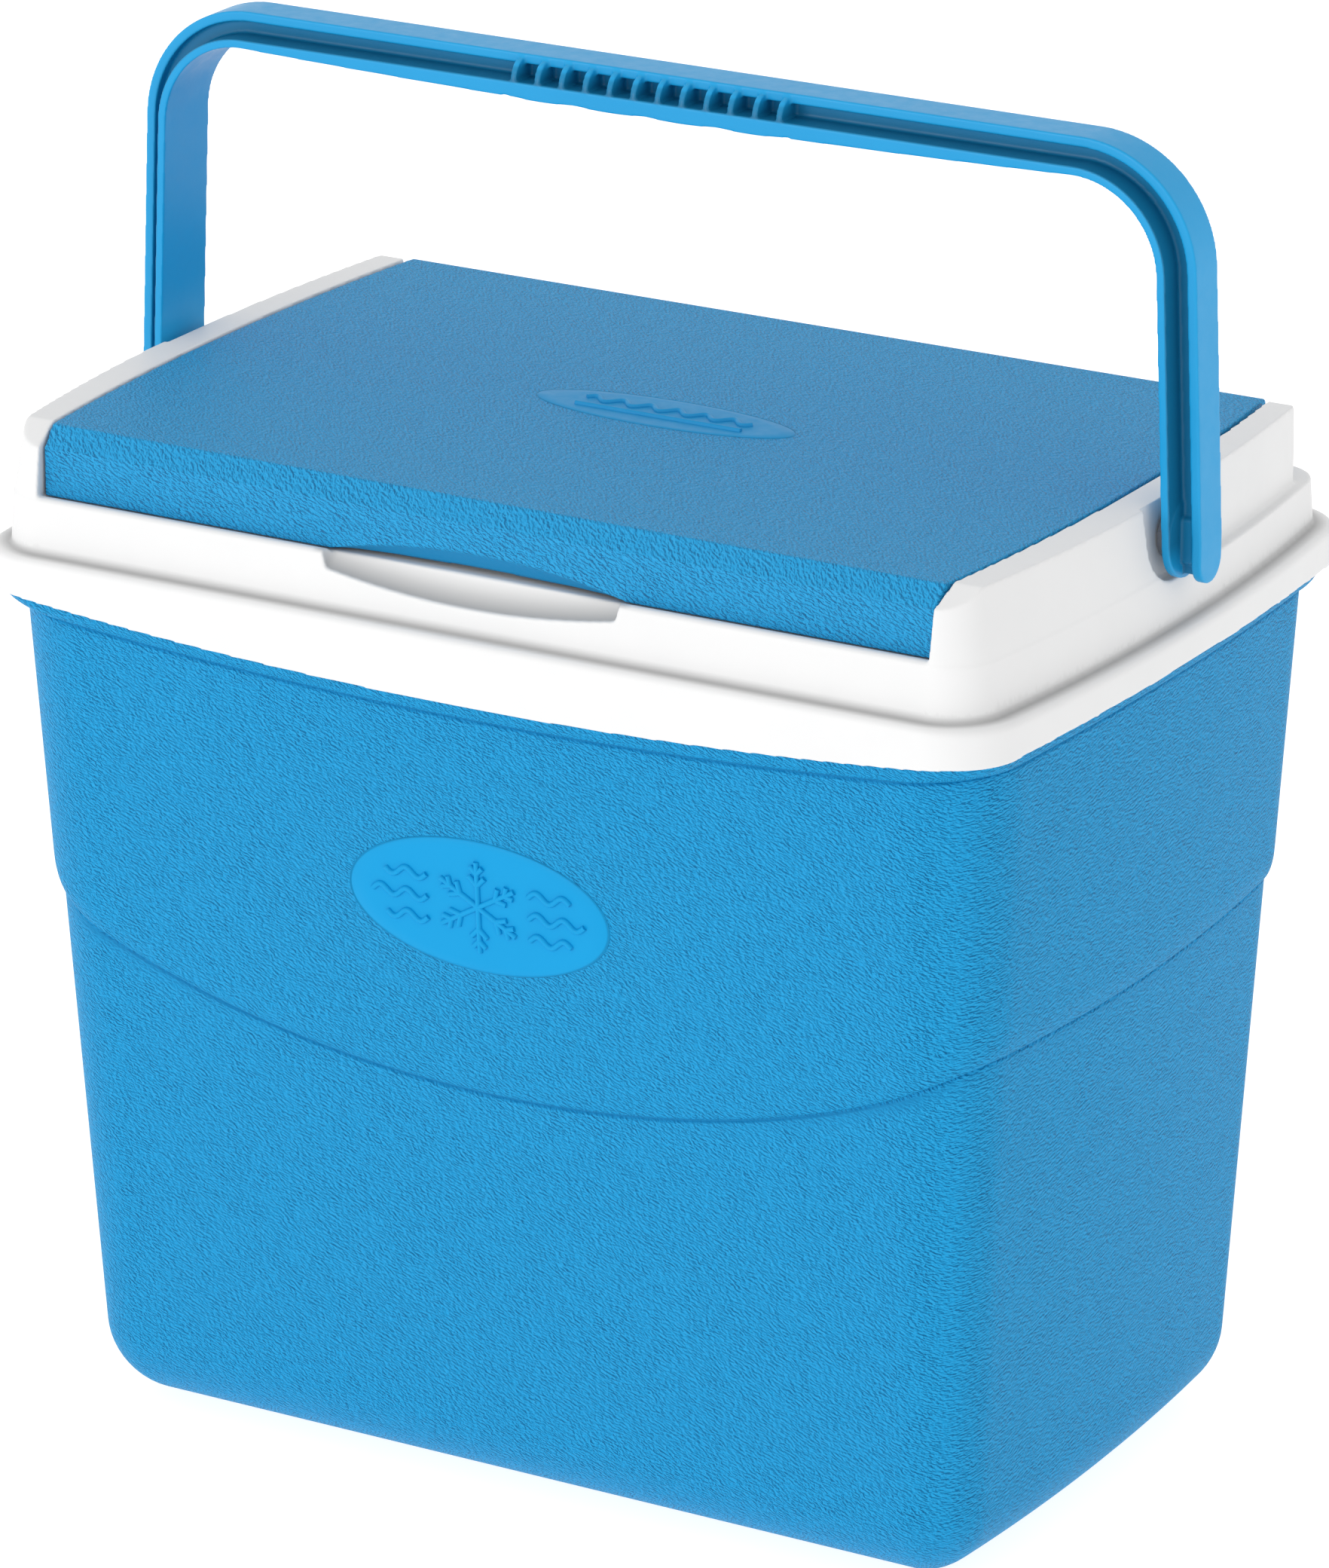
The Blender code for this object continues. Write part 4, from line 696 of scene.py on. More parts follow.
def paint_ledge_shade(frame_piece):
    """Store painted shade by how close each point lies to the foot of the bezel or the pocket's
    sill.
    """
    x, y, z = vertex_points(frame_piece.data)
    half_x = COLLAR_HALF_X - COLLAR_BOW * (y / COLLAR_HALF_Y) ** 2
    out_x = np.abs(x) - half_x + COLLAR_CORNER
    out_y = np.abs(y) - COLLAR_HALF_Y + COLLAR_CORNER
    corner = np.hypot(np.maximum(out_x, 0), np.maximum(out_y, 0))
    inset = COLLAR_CORNER - corner - np.minimum(np.maximum(out_x, out_y), 0)
    level = 1 - np.abs(z - COLLAR_TOP_Z) / 0.0022
    ledge = np.clip(level, 0, 1) * np.clip((inset - 0.0012) / 0.0036, 0, 1)
    sill = SCOOP_LOW_Z + SCOOP_ARC_RISE * (x / SCOOP_HALF_X) ** 2
    inside = np.clip((inset - BEZEL_INSET - BEZEL_DRAFT - 0.0002) / 0.0006, 0, 1)
    inside *= (np.abs(x) < SCOOP_HALF_X + SCOOP_SIDE_LEAN) * (y < 0) * (z < BEZEL_TOP_Z)
    pocket = inside * np.clip(1.1 - (z - sill) / 0.0075, 0, 1)
    store_painted_shade(frame_piece.data, np.maximum(ledge, pocket))


def make_scoop():
    """Cutter for the finger pocket in the front of the bezel: an arched sill, curving up."""
    face_y = -(COLLAR_HALF_Y - BEZEL_INSET - BEZEL_DRAFT / 2)
    sections = []
    for share in (-0.8, *np.linspace(0.0, 1.0, 17)):
        depth = max(share, 0.0)
        lift = SCOOP_RISE * (1 - math.sqrt(1 - depth**2))
        half = SCOOP_HALF_X - 0.0015 * depth**2
        top = half + SCOOP_SIDE_LEAN
        section = [(x, face_y + SCOOP_DEPTH * share,
                    SCOOP_LOW_Z + SCOOP_ARC_RISE * (x / SCOOP_HALF_X) ** 2 + lift)
                   for x in np.linspace(-half, half, 61)]
        section += [(top, face_y + SCOOP_DEPTH * share, SCOOP_CUT_TOP_Z),
                    (-top, face_y + SCOOP_DEPTH * share, SCOOP_CUT_TOP_Z)]
        sections.append(section)
    return loft(sections)


def make_frame():
    collar = collar_size()
    bezel_top = BEZEL_INSET + BEZEL_DRAFT
    under_ledge = COLLAR_TOP_Z - COLLAR_WALL
    under_deck = DECK_Z - DECK_THICKNESS
    section = [ring(collar, collar_edge)]
    for i in range(7):
        angle = math.pi / 2 * i / 6
        section.append(ring(collar, COLLAR_TOP_Z - COLLAR_ROUND * (1 - math.sin(angle)),
                            COLLAR_ROUND * (1 - math.cos(angle))))
    section += [
        ring(collar, COLLAR_TOP_Z, BEZEL_INSET),
        ring(collar, BEZEL_TOP_Z - 0.001, bezel_top),
        ring(collar, BEZEL_TOP_Z, bezel_top + 0.001),
        ring(collar, BEZEL_TOP_Z, bezel_top + LIP_WIDTH),
        ring(collar, DECK_Z, bezel_top + LIP_WIDTH + 0.0005),
        mouth_ring(DECK_Z, -0.0008),
        mouth_ring(DECK_Z - 0.0008),
        mouth_ring(MOUTH_LIP_Z),
        mouth_ring(MOUTH_LIP_Z, -MOUTH_WALL),
        mouth_ring(under_deck, -MOUTH_WALL),
        ring(collar, under_deck, bezel_top + BEZEL_WALL),
        ring(collar, under_ledge, BEZEL_INSET + BEZEL_WALL),
        ring(collar, under_ledge, COLLAR_WALL),
        ring(collar, collar_edge, COLLAR_WALL),
    ]
    moulding = to_object("top_moulding", loft(section, closed=True))

    side = COLLAR_HALF_X - BEZEL_INSET
    rails = to_object("rails", loft([
        ring(collar, DECK_Z - 0.0012, BEZEL_INSET + BEZEL_DRAFT),
        ring(collar, RAIL_TOP_Z, BEZEL_INSET + side - RAIL_TOP_HALF_X)]), False)
    bay_size = (RAIL_INNER_HALF_X, COLLAR_HALF_Y * OVERRUN, 0.002, RAIL_INNER_BOW * OVERRUN**2)
    end = [(RAIL_END_X + RAIL_END_ROUND * (math.sin(a) - 1),
            RAIL_REAR_Y + RAIL_END_ROUND * (math.cos(a) - 1)) for a in np.linspace(0, 1.57, 9)]
    end.append((CUT_FAR, end[-1][1]))
    outline_end = [(-x, y) for x, y in reversed(end)] + end
    outline_end += [(CUT_FAR, CUT_FAR), (-CUT_FAR, CUT_FAR)]
    rear = loft([[(x, y, z) for x, y in outline_end] for z in (CUT_LOW_Z, CUT_HIGH_Z)])
    inner_x = RAIL_INNER_HALF_X - RAIL_INNER_BOW * (RAIL_REAR_Y / COLLAR_HALF_Y) ** 2
    corner = [(inner_x, RAIL_REAR_Y), *end, (CUT_FAR, CUT_FAR), (inner_x, CUT_FAR)]
    clear = [loft([[(way * x, y, z) for x, y in corner]
                   for z in (RECESS_FLOOR_Z, CUT_HIGH_Z)]) for way in (1, -1)]
    combine(rails, [("DIFFERENCE", loft([ring(bay_size, z)
                                           for z in (CUT_LOW_Z, CUT_HIGH_Z)])),
                    ("DIFFERENCE", rear)])

    front = COLLAR_HALF_Y - BEZEL_INSET - BEZEL_DRAFT - 0.0015
    backing = block((-SCOOP_HALF_X - 0.005, -front, COLLAR_TOP_Z + 0.003),
                    (SCOOP_HALF_X + 0.005, -front + SCOOP_DEPTH + 0.003, DECK_Z - 0.0004))
    scoop = make_scoop()
    rise = RAIL_TOP_Z - RAIL_FACET_Z
    lean_share = (RAIL_FACET_Z - DECK_Z) / (RAIL_TOP_Z - DECK_Z)
    pull = mix(BEZEL_DRAFT, COLLAR_HALF_X - BEZEL_INSET - RAIL_TOP_HALF_X, lean_share)
    nose_y = -(COLLAR_HALF_Y - BEZEL_INSET - pull)
    facet = prism_x([(nose_y, RAIL_FACET_Z),
                     (nose_y + 2 * RAIL_FACET_LENGTH, RAIL_FACET_Z + 2 * rise),
                     (nose_y - FACET_REACH, RAIL_FACET_Z + 2 * rise),
                     (nose_y - FACET_REACH,
                      RAIL_FACET_Z - FACET_REACH * rise / RAIL_FACET_LENGTH)], -CUT_FAR, CUT_FAR)
    holes = bmesh.new()
    for way in (1, -1):
        side_rod(holes, way, PIVOT_RADIUS + PIN_PLAY, handle_pin_span()[0] - GAP,
                 PIVOT_HOLE_END_X, HANDLE_AXIS_Y, HANDLE_AXIS_Z)
        inner, outer = lid_pin_span()
        side_rod(holes, way, LID_PIN_RADIUS + PIN_PLAY, inner - 0.01, outer + GAP, LID_AXIS_Y,
                 LID_AXIS_Z)
    ledge = block((-CUT_FAR, REAR_LEDGE_Y, RECESS_FLOOR_Z), (CUT_FAR, CUT_FAR, CUT_HIGH_Z))
    combine(moulding, [("UNION", rails), ("UNION", backing), ("DIFFERENCE", scoop),
                       ("DIFFERENCE", facet), ("DIFFERENCE", make_recess(1)),
                       ("DIFFERENCE", make_recess(-1)), ("DIFFERENCE", ledge),
                       ("DIFFERENCE", clear[0]), ("DIFFERENCE", clear[1]),
                       ("DIFFERENCE", holes)])
    moulding = moulded(moulding, FRAME_VOXEL, 2, 0.3)
    paint_ledge_shade(moulding)
    return moulding


# ---- lid
def lid_profile(inset, bottom_z):
    front, rear, top = LID_FRONT_Y + inset, LID_REAR_Y - inset, LID_TOP_Z - inset
    round_in = LID_REAR_ROUND * 0.3
    radius = LID_REAR_Y - LID_AXIS_Y - inset
    points = [(front, bottom_z), (front, LID_TOP_Z - LID_BEVEL_DROP - inset * 0.4),
              (LID_FRONT_Y + LID_BEVEL_DEPTH + inset * 0.4, top),
              (rear - LID_REAR_ROUND, top), (rear - round_in, top - round_in),
              (rear, top - LID_REAR_ROUND)]
    drop = min(1.0, (LID_AXIS_Z - bottom_z) / radius)
    if drop <= 0:
        return points + [(rear, bottom_z)]
    for i in range(25):
        angle = -math.asin(drop) * i / 24
        points.append((LID_AXIS_Y + radius * math.cos(angle),
                       LID_AXIS_Z + radius * math.sin(angle)))
    if bottom_z < LID_AXIS_Z - radius:
        points.append((LID_AXIS_Y, bottom_z))
    return points


def lid_side_x(y):
    return LID_HALF_X - LID_BOW * ((y - LID_CENTRE_Y) / LID_HALF_Y) ** 2


def lid_plan(inset):
    size = (LID_HALF_X - inset, LID_HALF_Y * OVERRUN, LID_CORNER, LID_BOW * OVERRUN**2)
    return loft([ring(size, z, 0.0, LID_CENTRE_Y, MEDIUM)
                 for z in (PLUG_BOTTOM_Z - LID_PLAN_REACH, LID_TOP_Z + LID_PLAN_REACH)])


def lid_block(name, inset, bottom_z):
    solid = to_object(name, prism_x(lid_profile(inset, bottom_z), -0.17, 0.17), False)
    return combine(solid, [("INTERSECT", lid_plan(inset))])


def make_lid():
    skin = lid_block("lid_panel", 0.0, LID_BOTTOM_Z)
    hollow = lid_block("lid_hollow", LID_SKIN, LID_BOTTOM_Z - 0.01)
    outer = lid_side_x(LID_AXIS_Y) - LID_SKIN * 0.4
    low = Vector((outer - BOSS_LENGTH, BOSS_FRONT_Y, BOSS_Z))
    high = Vector((outer, LID_REAR_Y - LID_SKIN * 0.5, LID_TOP_Z - LID_SKIN * 0.5))
    mirrored = block((-high.x, low.y, low.z), (-low.x, high.y, high.z))
    holes = bmesh.new()
    for way in (1, -1):
        inner, outer = lid_pin_span()
        side_rod(holes, way, LID_PIN_RADIUS + PIN_PLAY, inner - GAP, outer + 0.01, LID_AXIS_Y,
                 LID_AXIS_Z)
    lip = block((-LID_ARCH_HALF_X - 0.004, LID_FRONT_Y + LID_SKIN - 0.0006, LID_BOTTOM_Z + GAP),
                (LID_ARCH_HALF_X + 0.004, LID_FRONT_Y + LID_SKIN + 0.0014, LID_BOTTOM_Z + 0.0048))
    combine(skin, [("DIFFERENCE", hollow), ("UNION", block(low, high)), ("UNION", mirrored),
                   ("DIFFERENCE", holes), ("UNION", lip), ("DIFFERENCE", make_arch())])
    skin = moulded(skin, LID_VOXEL, 2, 0.3)
    # painted shade on the sloping band under the arch at the lid's front edge
    x, y, z = vertex_points(skin.data)
    arc = LID_BOTTOM_Z + LID_ARCH_RISE * (1 - (x / LID_ARCH_HALF_X) ** 2)
    band = np.clip((y - LID_FRONT_Y - 0.0001) / 0.0004, 0, 1) * (y < LID_FRONT_Y + 0.0060)
    store_painted_shade(skin.data, band * (z < arc + 0.0004))
    return skin


def make_arch():
    """Cutter for the sloping finger relief under the lid's front edge."""
    sections = []
    for share in (-0.5, 0.0, 0.5, 1.0, 1.3):
        rise = mix(LID_ARCH_RISE, LID_ARCH_INNER_RISE, min(share, 1.0))
        section = []
        for x in np.linspace(-LID_ARCH_HALF_X, LID_ARCH_HALF_X, 81):
            arc = 1 - (x / LID_ARCH_HALF_X) ** 2
            section.append((x, LID_FRONT_Y + LID_ARCH_DEPTH * share,
                            LID_BOTTOM_Z - 0.0005 + (rise + 0.0005) * arc))
        section += [(LID_ARCH_HALF_X, section[0][1], LID_BOTTOM_Z - 0.003),
                    (-LID_ARCH_HALF_X, section[0][1], LID_BOTTOM_Z - 0.003)]
        sections.append(section)
    return loft(sections)


def make_pan():
    rear = LID_AXIS_Y - GAP
    front = LID_FRONT_Y + LID_SKIN + GAP + 0.0014
    size = (LID_HALF_X, 0.5 * (rear - front), LID_CORNER, 0.0)
    centre = 0.5 * (rear + front)
    taper = PLUG_GAP + PLUG_TAPER
    pan = to_object("lid_liner", loft([
        mouth_ring(PLUG_BOTTOM_Z, taper, MEDIUM),
        mouth_ring(PAN_Z, PLUG_GAP, MEDIUM),
        ring(size, PAN_Z, 0.0, centre, MEDIUM),
        ring(size, PAN_Z + PAN_THICKNESS, 0.0, centre, MEDIUM),
        mouth_ring(PAN_Z + PAN_THICKNESS, PLUG_GAP + PAN_THICKNESS, MEDIUM),
        mouth_ring(PLUG_BOTTOM_Z + PAN_THICKNESS, taper + PAN_THICKNESS, MEDIUM)]))
    centre = Vector((0, MOUTH_CENTRE_Y, PLUG_BOTTOM_Z))
    hole = rod(bmesh.new(), FILL_HOLE_RADIUS, centre - Vector((0, 0, 0.01)),
               centre + Vector((0, 0, PAN_THICKNESS + 0.0005)))
    combine(pan, [("INTERSECT", lid_plan(LID_SKIN + GAP)), ("DIFFERENCE", hole)])
    return moulded(pan, PAN_VOXEL, 4, 0.35)


def make_gasket():
    """Soft ring with a rounded lower lip."""
    rings = []
    half = GASKET_WIDTH / 2
    height = PAN_Z - GAP - (DECK_Z + GAP)
    for i in range(13):
        angle = math.pi + math.pi * i / 12
        rings.append(mouth_ring(DECK_Z + GAP + height * (0.5 + 0.5 * math.sin(angle)),
                                -GASKET_INSET - half - half * math.cos(angle), MEDIUM))
    rings.append(mouth_ring(PAN_Z - GAP, -GASKET_INSET - 2 * half, MEDIUM))
    rings.append(mouth_ring(PAN_Z - GAP, -GASKET_INSET, MEDIUM))
    return to_object("lid_seal", loft(rings, closed=True))


# ---- handle
def leg_outer_x(z):
    return HANDLE_FOOT_HALF_X - HANDLE_LEAN * (z - HANDLE_AXIS_Z)


def handle_corner():
    """The legs' lean, the corner's centre and the height where a leg runs into it."""
    lean = math.atan(HANDLE_LEAN)
    centre_z = HANDLE_TOP_Z - HANDLE_CORNER
    touch_z = centre_z + HANDLE_CORNER * math.sin(lean)
    return lean, leg_outer_x(touch_z) - HANDLE_CORNER * math.cos(lean), centre_z, touch_z


def handle_path():
    """Stations (x, z, inward x, inward z, thickness) along the outer line, right to left."""
    lean, centre_x, centre_z, touch_z = handle_corner()
    right = []
    for i in range(30):
        z = mix(HANDLE_AXIS_Z, touch_z, i / 30)
        right.append((leg_outer_x(z), z, -math.cos(lean), -math.sin(lean), HANDLE_THICKNESS))
    for i in range(33):
        angle = mix(lean, math.pi / 2, i / 32)
        right.append((centre_x + HANDLE_CORNER * math.cos(angle),
                      centre_z + HANDLE_CORNER * math.sin(angle),
                      -math.cos(angle), -math.sin(angle), HANDLE_THICKNESS))
    grip = FINGER_PITCH * FINGER_COUNT / 2
    for x in np.linspace(centre_x, 0.0, 121)[1:]:
        thickness = HANDLE_THICKNESS + HANDLE_GRIP_EXTRA * (1 - (x / centre_x) ** 2)
        if abs(x) < grip:
            wave = abs(math.sin(math.pi * (grip - x) / FINGER_PITCH))
            thickness += FINGER_DEPTH * (wave - 0.5)
        right.append((x, HANDLE_TOP_Z, 0.0, -1.0, thickness))
    left = [(-x, z, -nx, nz, t) for x, z, nx, nz, t in reversed(right[:-1])]
    return right + left


def handle_section(thickness):
    groove = HANDLE_THICKNESS - INNER_FLANGE
    return [(0.0, -OUTER_FLANGE_HALF), (0.0, OUTER_FLANGE_HALF),
            (OUTER_FLANGE, OUTER_FLANGE_HALF), (OUTER_FLANGE, WEB_BACK),
            (groove, WEB_BACK), (groove, INNER_FLANGE_HALF),
            (thickness, INNER_FLANGE_HALF), (thickness, -INNER_FLANGE_HALF),
            (groove, -INNER_FLANGE_HALF), (groove, WEB_FRONT),
            (OUTER_FLANGE, WEB_FRONT), (OUTER_FLANGE, -OUTER_FLANGE_HALF)]


def make_handle():
    rings = []
    for x, z, normal_x, normal_z, thickness in handle_path():
        rings.append([(x + depth * normal_x, HANDLE_AXIS_Y + y, z + depth * normal_z)
                      for depth, y in handle_section(thickness)])
    handle = to_object("bail_handle", loft(rings), False)
    outer, inner = HANDLE_FOOT_HALF_X, handle_inner_x()
    end_z = OUTER_FLANGE_END_Z + OUTER_FLANGE_HALF
    steps = []
    for way in (1, -1):
        for radius, low_x, high_x, z in (
                (INNER_FLANGE_HALF, inner, inner + INNER_FLANGE, HANDLE_AXIS_Z),
                (OUTER_FLANGE_HALF, outer - OUTER_FLANGE, outer, end_z)):
            steps.append(("UNION", side_rod(bmesh.new(), way, radius, low_x, high_x,
                                            HANDLE_AXIS_Y, z, 96)))
        half_round = [(HANDLE_AXIS_Y + max(PIVOT_BOSS_RADIUS * math.sin(a), BOSS_FRONT),
                       HANDLE_AXIS_Z + PIVOT_BOSS_RADIUS * math.cos(a))
                      for a in np.linspace(0, math.tau, 73)[:-1]]
        steps.append(("UNION", prism_x(half_round, *sorted((way * (inner + 0.001),
                                                            way * (outer - 0.001))))))
        steps.append(("UNION", side_block(
            way, inner + 0.0005, outer - 0.0005, (HANDLE_AXIS_Y + WEB_FRONT,
                                                  HANDLE_AXIS_Z - WEB_TAIL),
            (HANDLE_AXIS_Y + WEB_BACK, HANDLE_AXIS_Z + 0.0012))))
        steps.append(("UNION", side_block(
            way, outer - OUTER_FLANGE, outer, (HANDLE_AXIS_Y - OUTER_FLANGE_HALF, end_z),
            (HANDLE_AXIS_Y + OUTER_FLANGE_HALF, HANDLE_AXIS_Z + 0.001))))
    rib = [(RIB_ROOT, WEB_FRONT + 0.0005), (RIB_ROOT, -OUTER_FLANGE_HALF + 0.0003)]
    for i in range(13):
        angle = math.pi / 2 * i / 12
        rib.append((RIB_ROOT + (HANDLE_THICKNESS - RIB_ROOT - INNER_FLANGE * 0.6)
                    * (1 - math.cos(angle)),
                    -OUTER_FLANGE_HALF - 0.0002
                    - (INNER_FLANGE_HALF - OUTER_FLANGE_HALF - 0.0002) * math.sin(angle)))
    rib.append((HANDLE_THICKNESS - INNER_FLANGE * 0.6, WEB_FRONT + 0.0005))
    ribs = bmesh.new()
    for i in range(RIB_COUNT):
        x = (i - (RIB_COUNT - 1) / 2) * RIB_PITCH
        profile = [(HANDLE_AXIS_Y + y, HANDLE_TOP_Z - depth) for depth, y in rib]
        one = prism_x(profile, x - RIB_THICKNESS / 2, x + RIB_THICKNESS / 2)
        mesh = bpy.data.meshes.new("rib")
        one.to_mesh(mesh)
        one.free()
        ribs.from_mesh(mesh)
        bpy.data.meshes.remove(mesh)
    steps.append(("UNION", ribs))
    holes = bmesh.new()
    for way in (1, -1):
        side_rod(holes, way, PIVOT_RADIUS + PIN_PLAY, inner - 0.01, handle_pin_span()[1] + GAP,
                 HANDLE_AXIS_Y, HANDLE_AXIS_Z)
    steps.append(("DIFFERENCE", holes))
    combine(handle, steps)
    handle = moulded(handle, HANDLE_VOXEL, 3, 0.4)
    paint_groove_shade(handle)
    return handle


def paint_groove_shade(handle):
    """Store painted shade by how deep each point of the handle lies in its channel."""
    x, y, z = vertex_points(handle.data)
    lean, centre_x, centre_z, touch_z = handle_corner()
    across = np.abs(x)
    corner = HANDLE_CORNER - np.hypot(across - centre_x, z - centre_z)
    depth = np.where(across < centre_x, HANDLE_TOP_Z - z,
                     np.where(z < touch_z, (leg_outer_x(z) - across) * math.cos(lean), corner))
    groove = HANDLE_THICKNESS - INNER_FLANGE
    between = np.minimum((depth - OUTER_FLANGE + 0.0004) / 0.0008,
                         (groove + 0.0004 - depth) / 0.0004)
    side = np.where(y < HANDLE_AXIS_Y, WEB_FRONT, WEB_BACK)
    from_web = np.abs(y - HANDLE_AXIS_Y - side)
    lower = mix(0.45, 1.0, np.clip((depth - OUTER_FLANGE) / (groove - OUTER_FLANGE), 0.0, 1.0))
    rim = mix(OUTER_FLANGE_HALF, INNER_FLANGE_HALF, lower) + side * np.sign(y)
    inward = np.clip((rim - from_web) / 0.0045, 0.0, 1.0)
    store_painted_shade(handle.data, np.clip(between, 0.0, 1.0) * lower * inward)


# ---- ovals
def make_oval(name, half_w, half_h, place):
    """Thin oval plate with a rounded rim and a fine moat round its raised field, with painted shade
    in the moat and round the edge.
    """
    steps = [(0.3, 0.0), (0.6, 0.0), (0.85, 0.0), (0.955, 0.0), (0.965, -0.00010),
             (0.975, -0.00022), (0.985, -0.00010), (0.992, 0.0), (1.0, -0.00008),
             (1.006, -0.0003), (1.008, -0.0012)]
    count = 160
    rings = []
    for share, height in steps:
        edge = min(half_w, half_h) * (share - 1)
        rx = (half_w + edge) if share > 0.9 else half_w * share
        ry = (half_h + edge) if share > 0.9 else half_h * share
        rings.append([(rx * math.cos(math.tau * i / count), ry * math.sin(math.tau * i / count),
                       height) for i in range(count)])
    plate = to_object(name, loft(rings))
    x, y, _ = vertex_points(plate.data)
    share = np.hypot(x / half_w, y / half_h)
    # painted shade in the moat and round the plate's edge
    rim = 1 - np.abs(1 + (share - 1) * max(half_w, half_h) / min(half_w, half_h) - 0.985) / 0.03
    store_painted_shade(plate.data, 0.6 * np.maximum(rim, (share > 1.0) * 1.0))
    plate.data.transform(place)
    return plate


def make_relief(name, lines, width, place):
    """Raised rounded lines, half sunk in the surface they lie on."""
    curve = bpy.data.curves.new(name, "CURVE")
    curve.dimensions = "3D"
    curve.bevel_depth = width / 2
    curve.bevel_resolution = 4
    curve.use_fill_caps = True
    for points in lines:
        spline = curve.splines.new("POLY")
        spline.points.add(len(points) - 1)
        for point, (x, y) in zip(spline.points, points):
            point.co = (x, y, 0.0, 1.0)
    temp = bpy.data.objects.new(name + "_curve", curve)
    scene.collection.objects.link(temp)
    mesh = evaluated_mesh(temp)
    mesh.name = name
    bpy.data.objects.remove(temp)
    mesh.transform(Matrix.Diagonal((1.0, 1.0, 1.1, 1.0)))
    mesh.transform(place)
    obj = bpy.data.objects.new(name, mesh)
    scene.collection.objects.link(obj)
    return shade_smooth(obj)


def flake(radius):
    """Six-armed ice crystal as line segments."""
    lines = []
    for k in range(6):
        angle = math.pi / 6 + math.pi / 3 * k
        way = Vector((math.cos(angle), math.sin(angle)))
        across = Vector((-way.y, way.x))
        start = Vector((0.0, 0.0))
        lines.append([start, start + way * radius])
        for share, length in ((0.48, 0.26), (0.74, 0.20)):
            root = start + way * radius * share
            for turn in (1, -1):
                tip = root + (way * 0.72 + across * turn * 0.72) * radius * length
                lines.append([root, tip])
    return lines


def wave(start_x, end_x, y, height, length):
    count = max(8, int(abs(end_x - start_x) / length * 16))
    return [(mix(start_x, end_x, i / count),
             y + height * math.sin(math.tau * mix(start_x, end_x, i / count) / length))
            for i in range(count + 1)]


BADGE_Z = 0.187
BADGE_HALF = (0.0424, 0.0200)
LID_BADGE = (0.002, -0.003)
LID_BADGE_HALF = (0.042, 0.0125)

wall_slope = (BODY_HALF[1] - BASE_HALF[1]) / BODY_TOP_Z
badge_y = -(BASE_HALF[1] + wall_slope * BADGE_Z + STEP_PROUD) - 0.00025
tilt = math.pi / 2 + math.atan(wall_slope)
badge_place = Matrix.Translation((0, badge_y, BADGE_Z)) @ Matrix.Rotation(tilt, 4, "X")
lid_badge_place = Matrix.Translation((*LID_BADGE, LID_TOP_Z + 0.00012))

# ---- pieces
piece(make_shell(), body_blue, "chest", "blue_textured", "outer_shell")
piece(make_liner(), liner_white, "chest", "liner_white", "inner_liner")
piece(make_frame(), white, "chest", "white_plastic", "top_frame")
piece(make_lid(), lid_blue, "lid", "blue_textured", "lid_skin")
piece(make_pan(), liner_white, "lid", "liner_white", "lid_pan")
piece(make_gasket(), seal, "lid", "seal_rubber", "lid_gasket")
piece(make_handle(), handle_blue, "handle", "blue_smooth", "carry_handle")
piece(make_oval("front_oval", *BADGE_HALF, badge_place), badge_blue, "chest", "blue_smooth")
piece(make_oval("lid_oval", *LID_BADGE_HALF, lid_badge_place), lid_badge_blue, "lid", "blue_smooth")

front_lines = flake(0.0138)
for way in (1, -1):
    for row, reach in ((0.0066, 0.0300), (0.0, 0.0345), (-0.0066, 0.0300)):
        front_lines.append(wave(way * 0.0165, way * reach, row, 0.0013, 0.0085))
piece(make_relief("front_relief", front_lines, 0.0017, badge_place), badge_blue, "chest",
      "blue_smooth")
lid_lines = [wave(-0.027, 0.027, 0.0022, 0.0018, 0.0090), wave(-0.027, 0.027, -0.0042, 0.0, 0.01)]
piece(make_relief("lid_relief", lid_lines, 0.0017, lid_badge_place), lid_badge_blue, "lid",
      "blue_smooth")

for name, material in (("base_fill_plug", handle_blue), ("body_foam", foam),
                       ("lid_foam", foam), ("lid_fill_plug", liner_white),
                       ("handle_pivot_left", pin_grey), ("handle_pivot_right", pin_grey),
                       ("lid_hinge_pin_left", pin_grey), ("lid_hinge_pin_right", pin_grey)):
    dress(nodes[name], material)

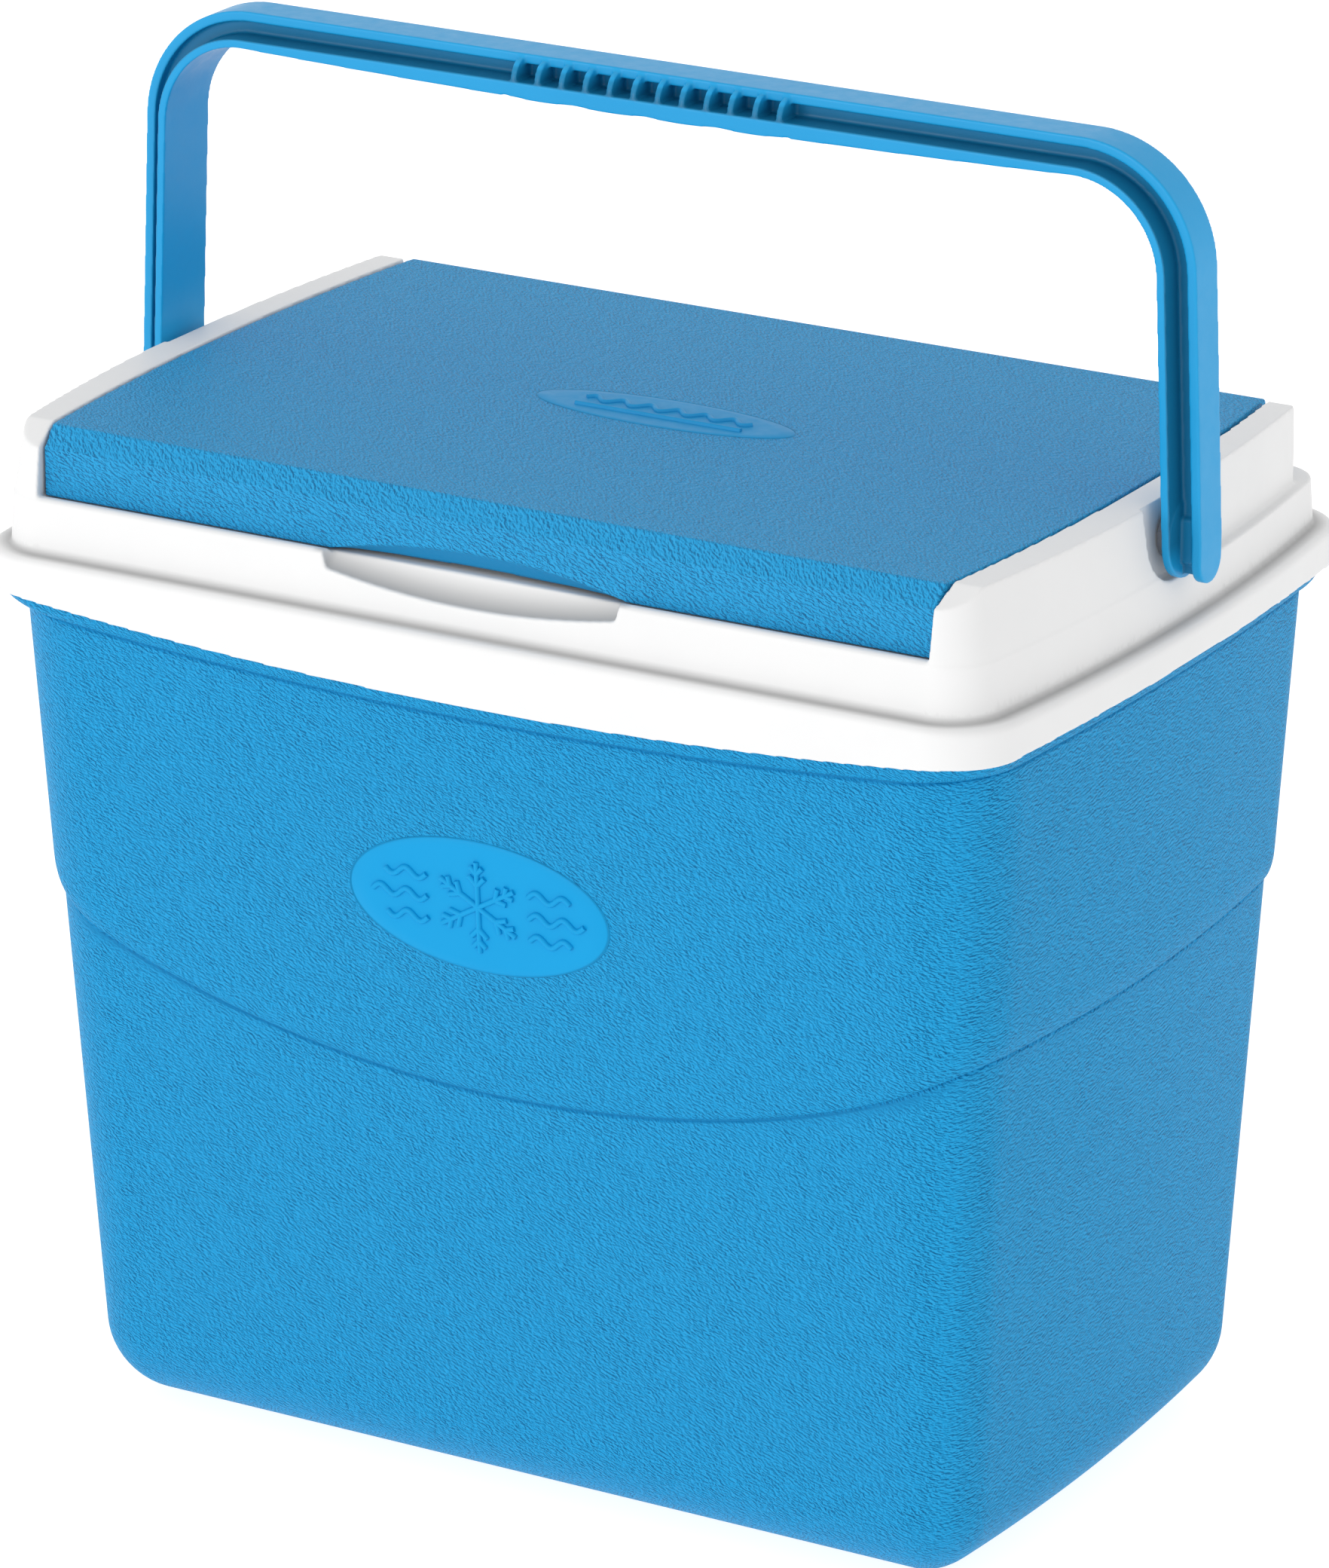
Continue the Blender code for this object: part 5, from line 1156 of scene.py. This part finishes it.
# ---- stage, light and camera
floor_material, floor_tree, floor_shader = shader_material("studio_floor", 0.9, 0.0)
floor_nodes = Nodes(floor_tree)
floor_coords = floor_nodes.add("ShaderNodeTexCoord").outputs["Object"]
floor_cloud = floor_nodes.noise(floor_coords, 3.0, 3.0, 0.5)
floor_nodes.link(floor_nodes.colour_mix(floor_cloud, (0.35, 0.35, 0.35), (0.36, 0.36, 0.36)),
                 floor_shader.inputs["Base Color"])
floor_shader.inputs["Emission Color"].default_value = (1.0, 1.0, 1.0, 1.0)
floor_shader.inputs["Emission Strength"].default_value = 0.86
bm = bmesh.new()
bmesh.ops.create_grid(bm, x_segments=2, y_segments=2, size=8.0)
floor = dress(to_object("studio_floor", bm), floor_material)
floor.location.z = -0.0003

world = bpy.data.worlds.new("studio")
world.use_nodes = True
sky = Nodes(world.node_tree)
sky_split = sky.add("ShaderNodeSeparateXYZ")
sky.link(sky.add("ShaderNodeTexCoord").outputs["Generated"], sky_split.inputs[0])
background = world.node_tree.nodes["Background"]
background.inputs["Color"].default_value = (1.0, 1.0, 1.0, 1.0)
sky.link(sky.map_range(sky_split.outputs[2], 0.0, 1.0, 1.1, 0.83), background.inputs["Strength"])
scene.world = world


def softbox(name, position, target, size, watts):
    light = bpy.data.lights.new(name, "AREA")
    light.shape = "RECTANGLE"
    light.size, light.size_y = size
    light.energy = watts
    lamp = bpy.data.objects.new(name, light)
    lamp.location = position
    aim = Vector(target) - Vector(position)
    lamp.rotation_euler = aim.to_track_quat("-Z", "Y").to_euler()
    scene.collection.objects.link(lamp)


softbox("front_box", (-0.8, -2.3, 0.7), (0, 0, 0.2), (1.4, 1.0), 15.0)

CAMERA_AZIMUTH, CAMERA_ELEVATION = math.radians(30.08), math.radians(20.07)
CAMERA_DISTANCE, CAMERA_TARGET_Z = 2.41157, 0.1795
CAMERA_LENS, CAMERA_SHIFT_Y = 191.53, 0.02435
right = Vector((math.cos(CAMERA_AZIMUTH), math.sin(CAMERA_AZIMUTH), 0))
back = Vector((math.sin(CAMERA_AZIMUTH) * math.cos(CAMERA_ELEVATION),
               -math.cos(CAMERA_AZIMUTH) * math.cos(CAMERA_ELEVATION),
               math.sin(CAMERA_ELEVATION)))
up = back.cross(right)
data = bpy.data.cameras.new("camera")
data.lens = CAMERA_LENS
data.sensor_width = 36.0
data.shift_y = CAMERA_SHIFT_Y
data.clip_end = 50.0
camera = bpy.data.objects.new("camera", data)
turn = Matrix((right, up, back)).transposed().to_4x4()
camera.matrix_world = Matrix.Translation(Vector((0, 0, CAMERA_TARGET_Z))
                                         + back * CAMERA_DISTANCE) @ turn
scene.collection.objects.link(camera)
scene.camera = camera
scene.view_settings.view_transform = "Standard"
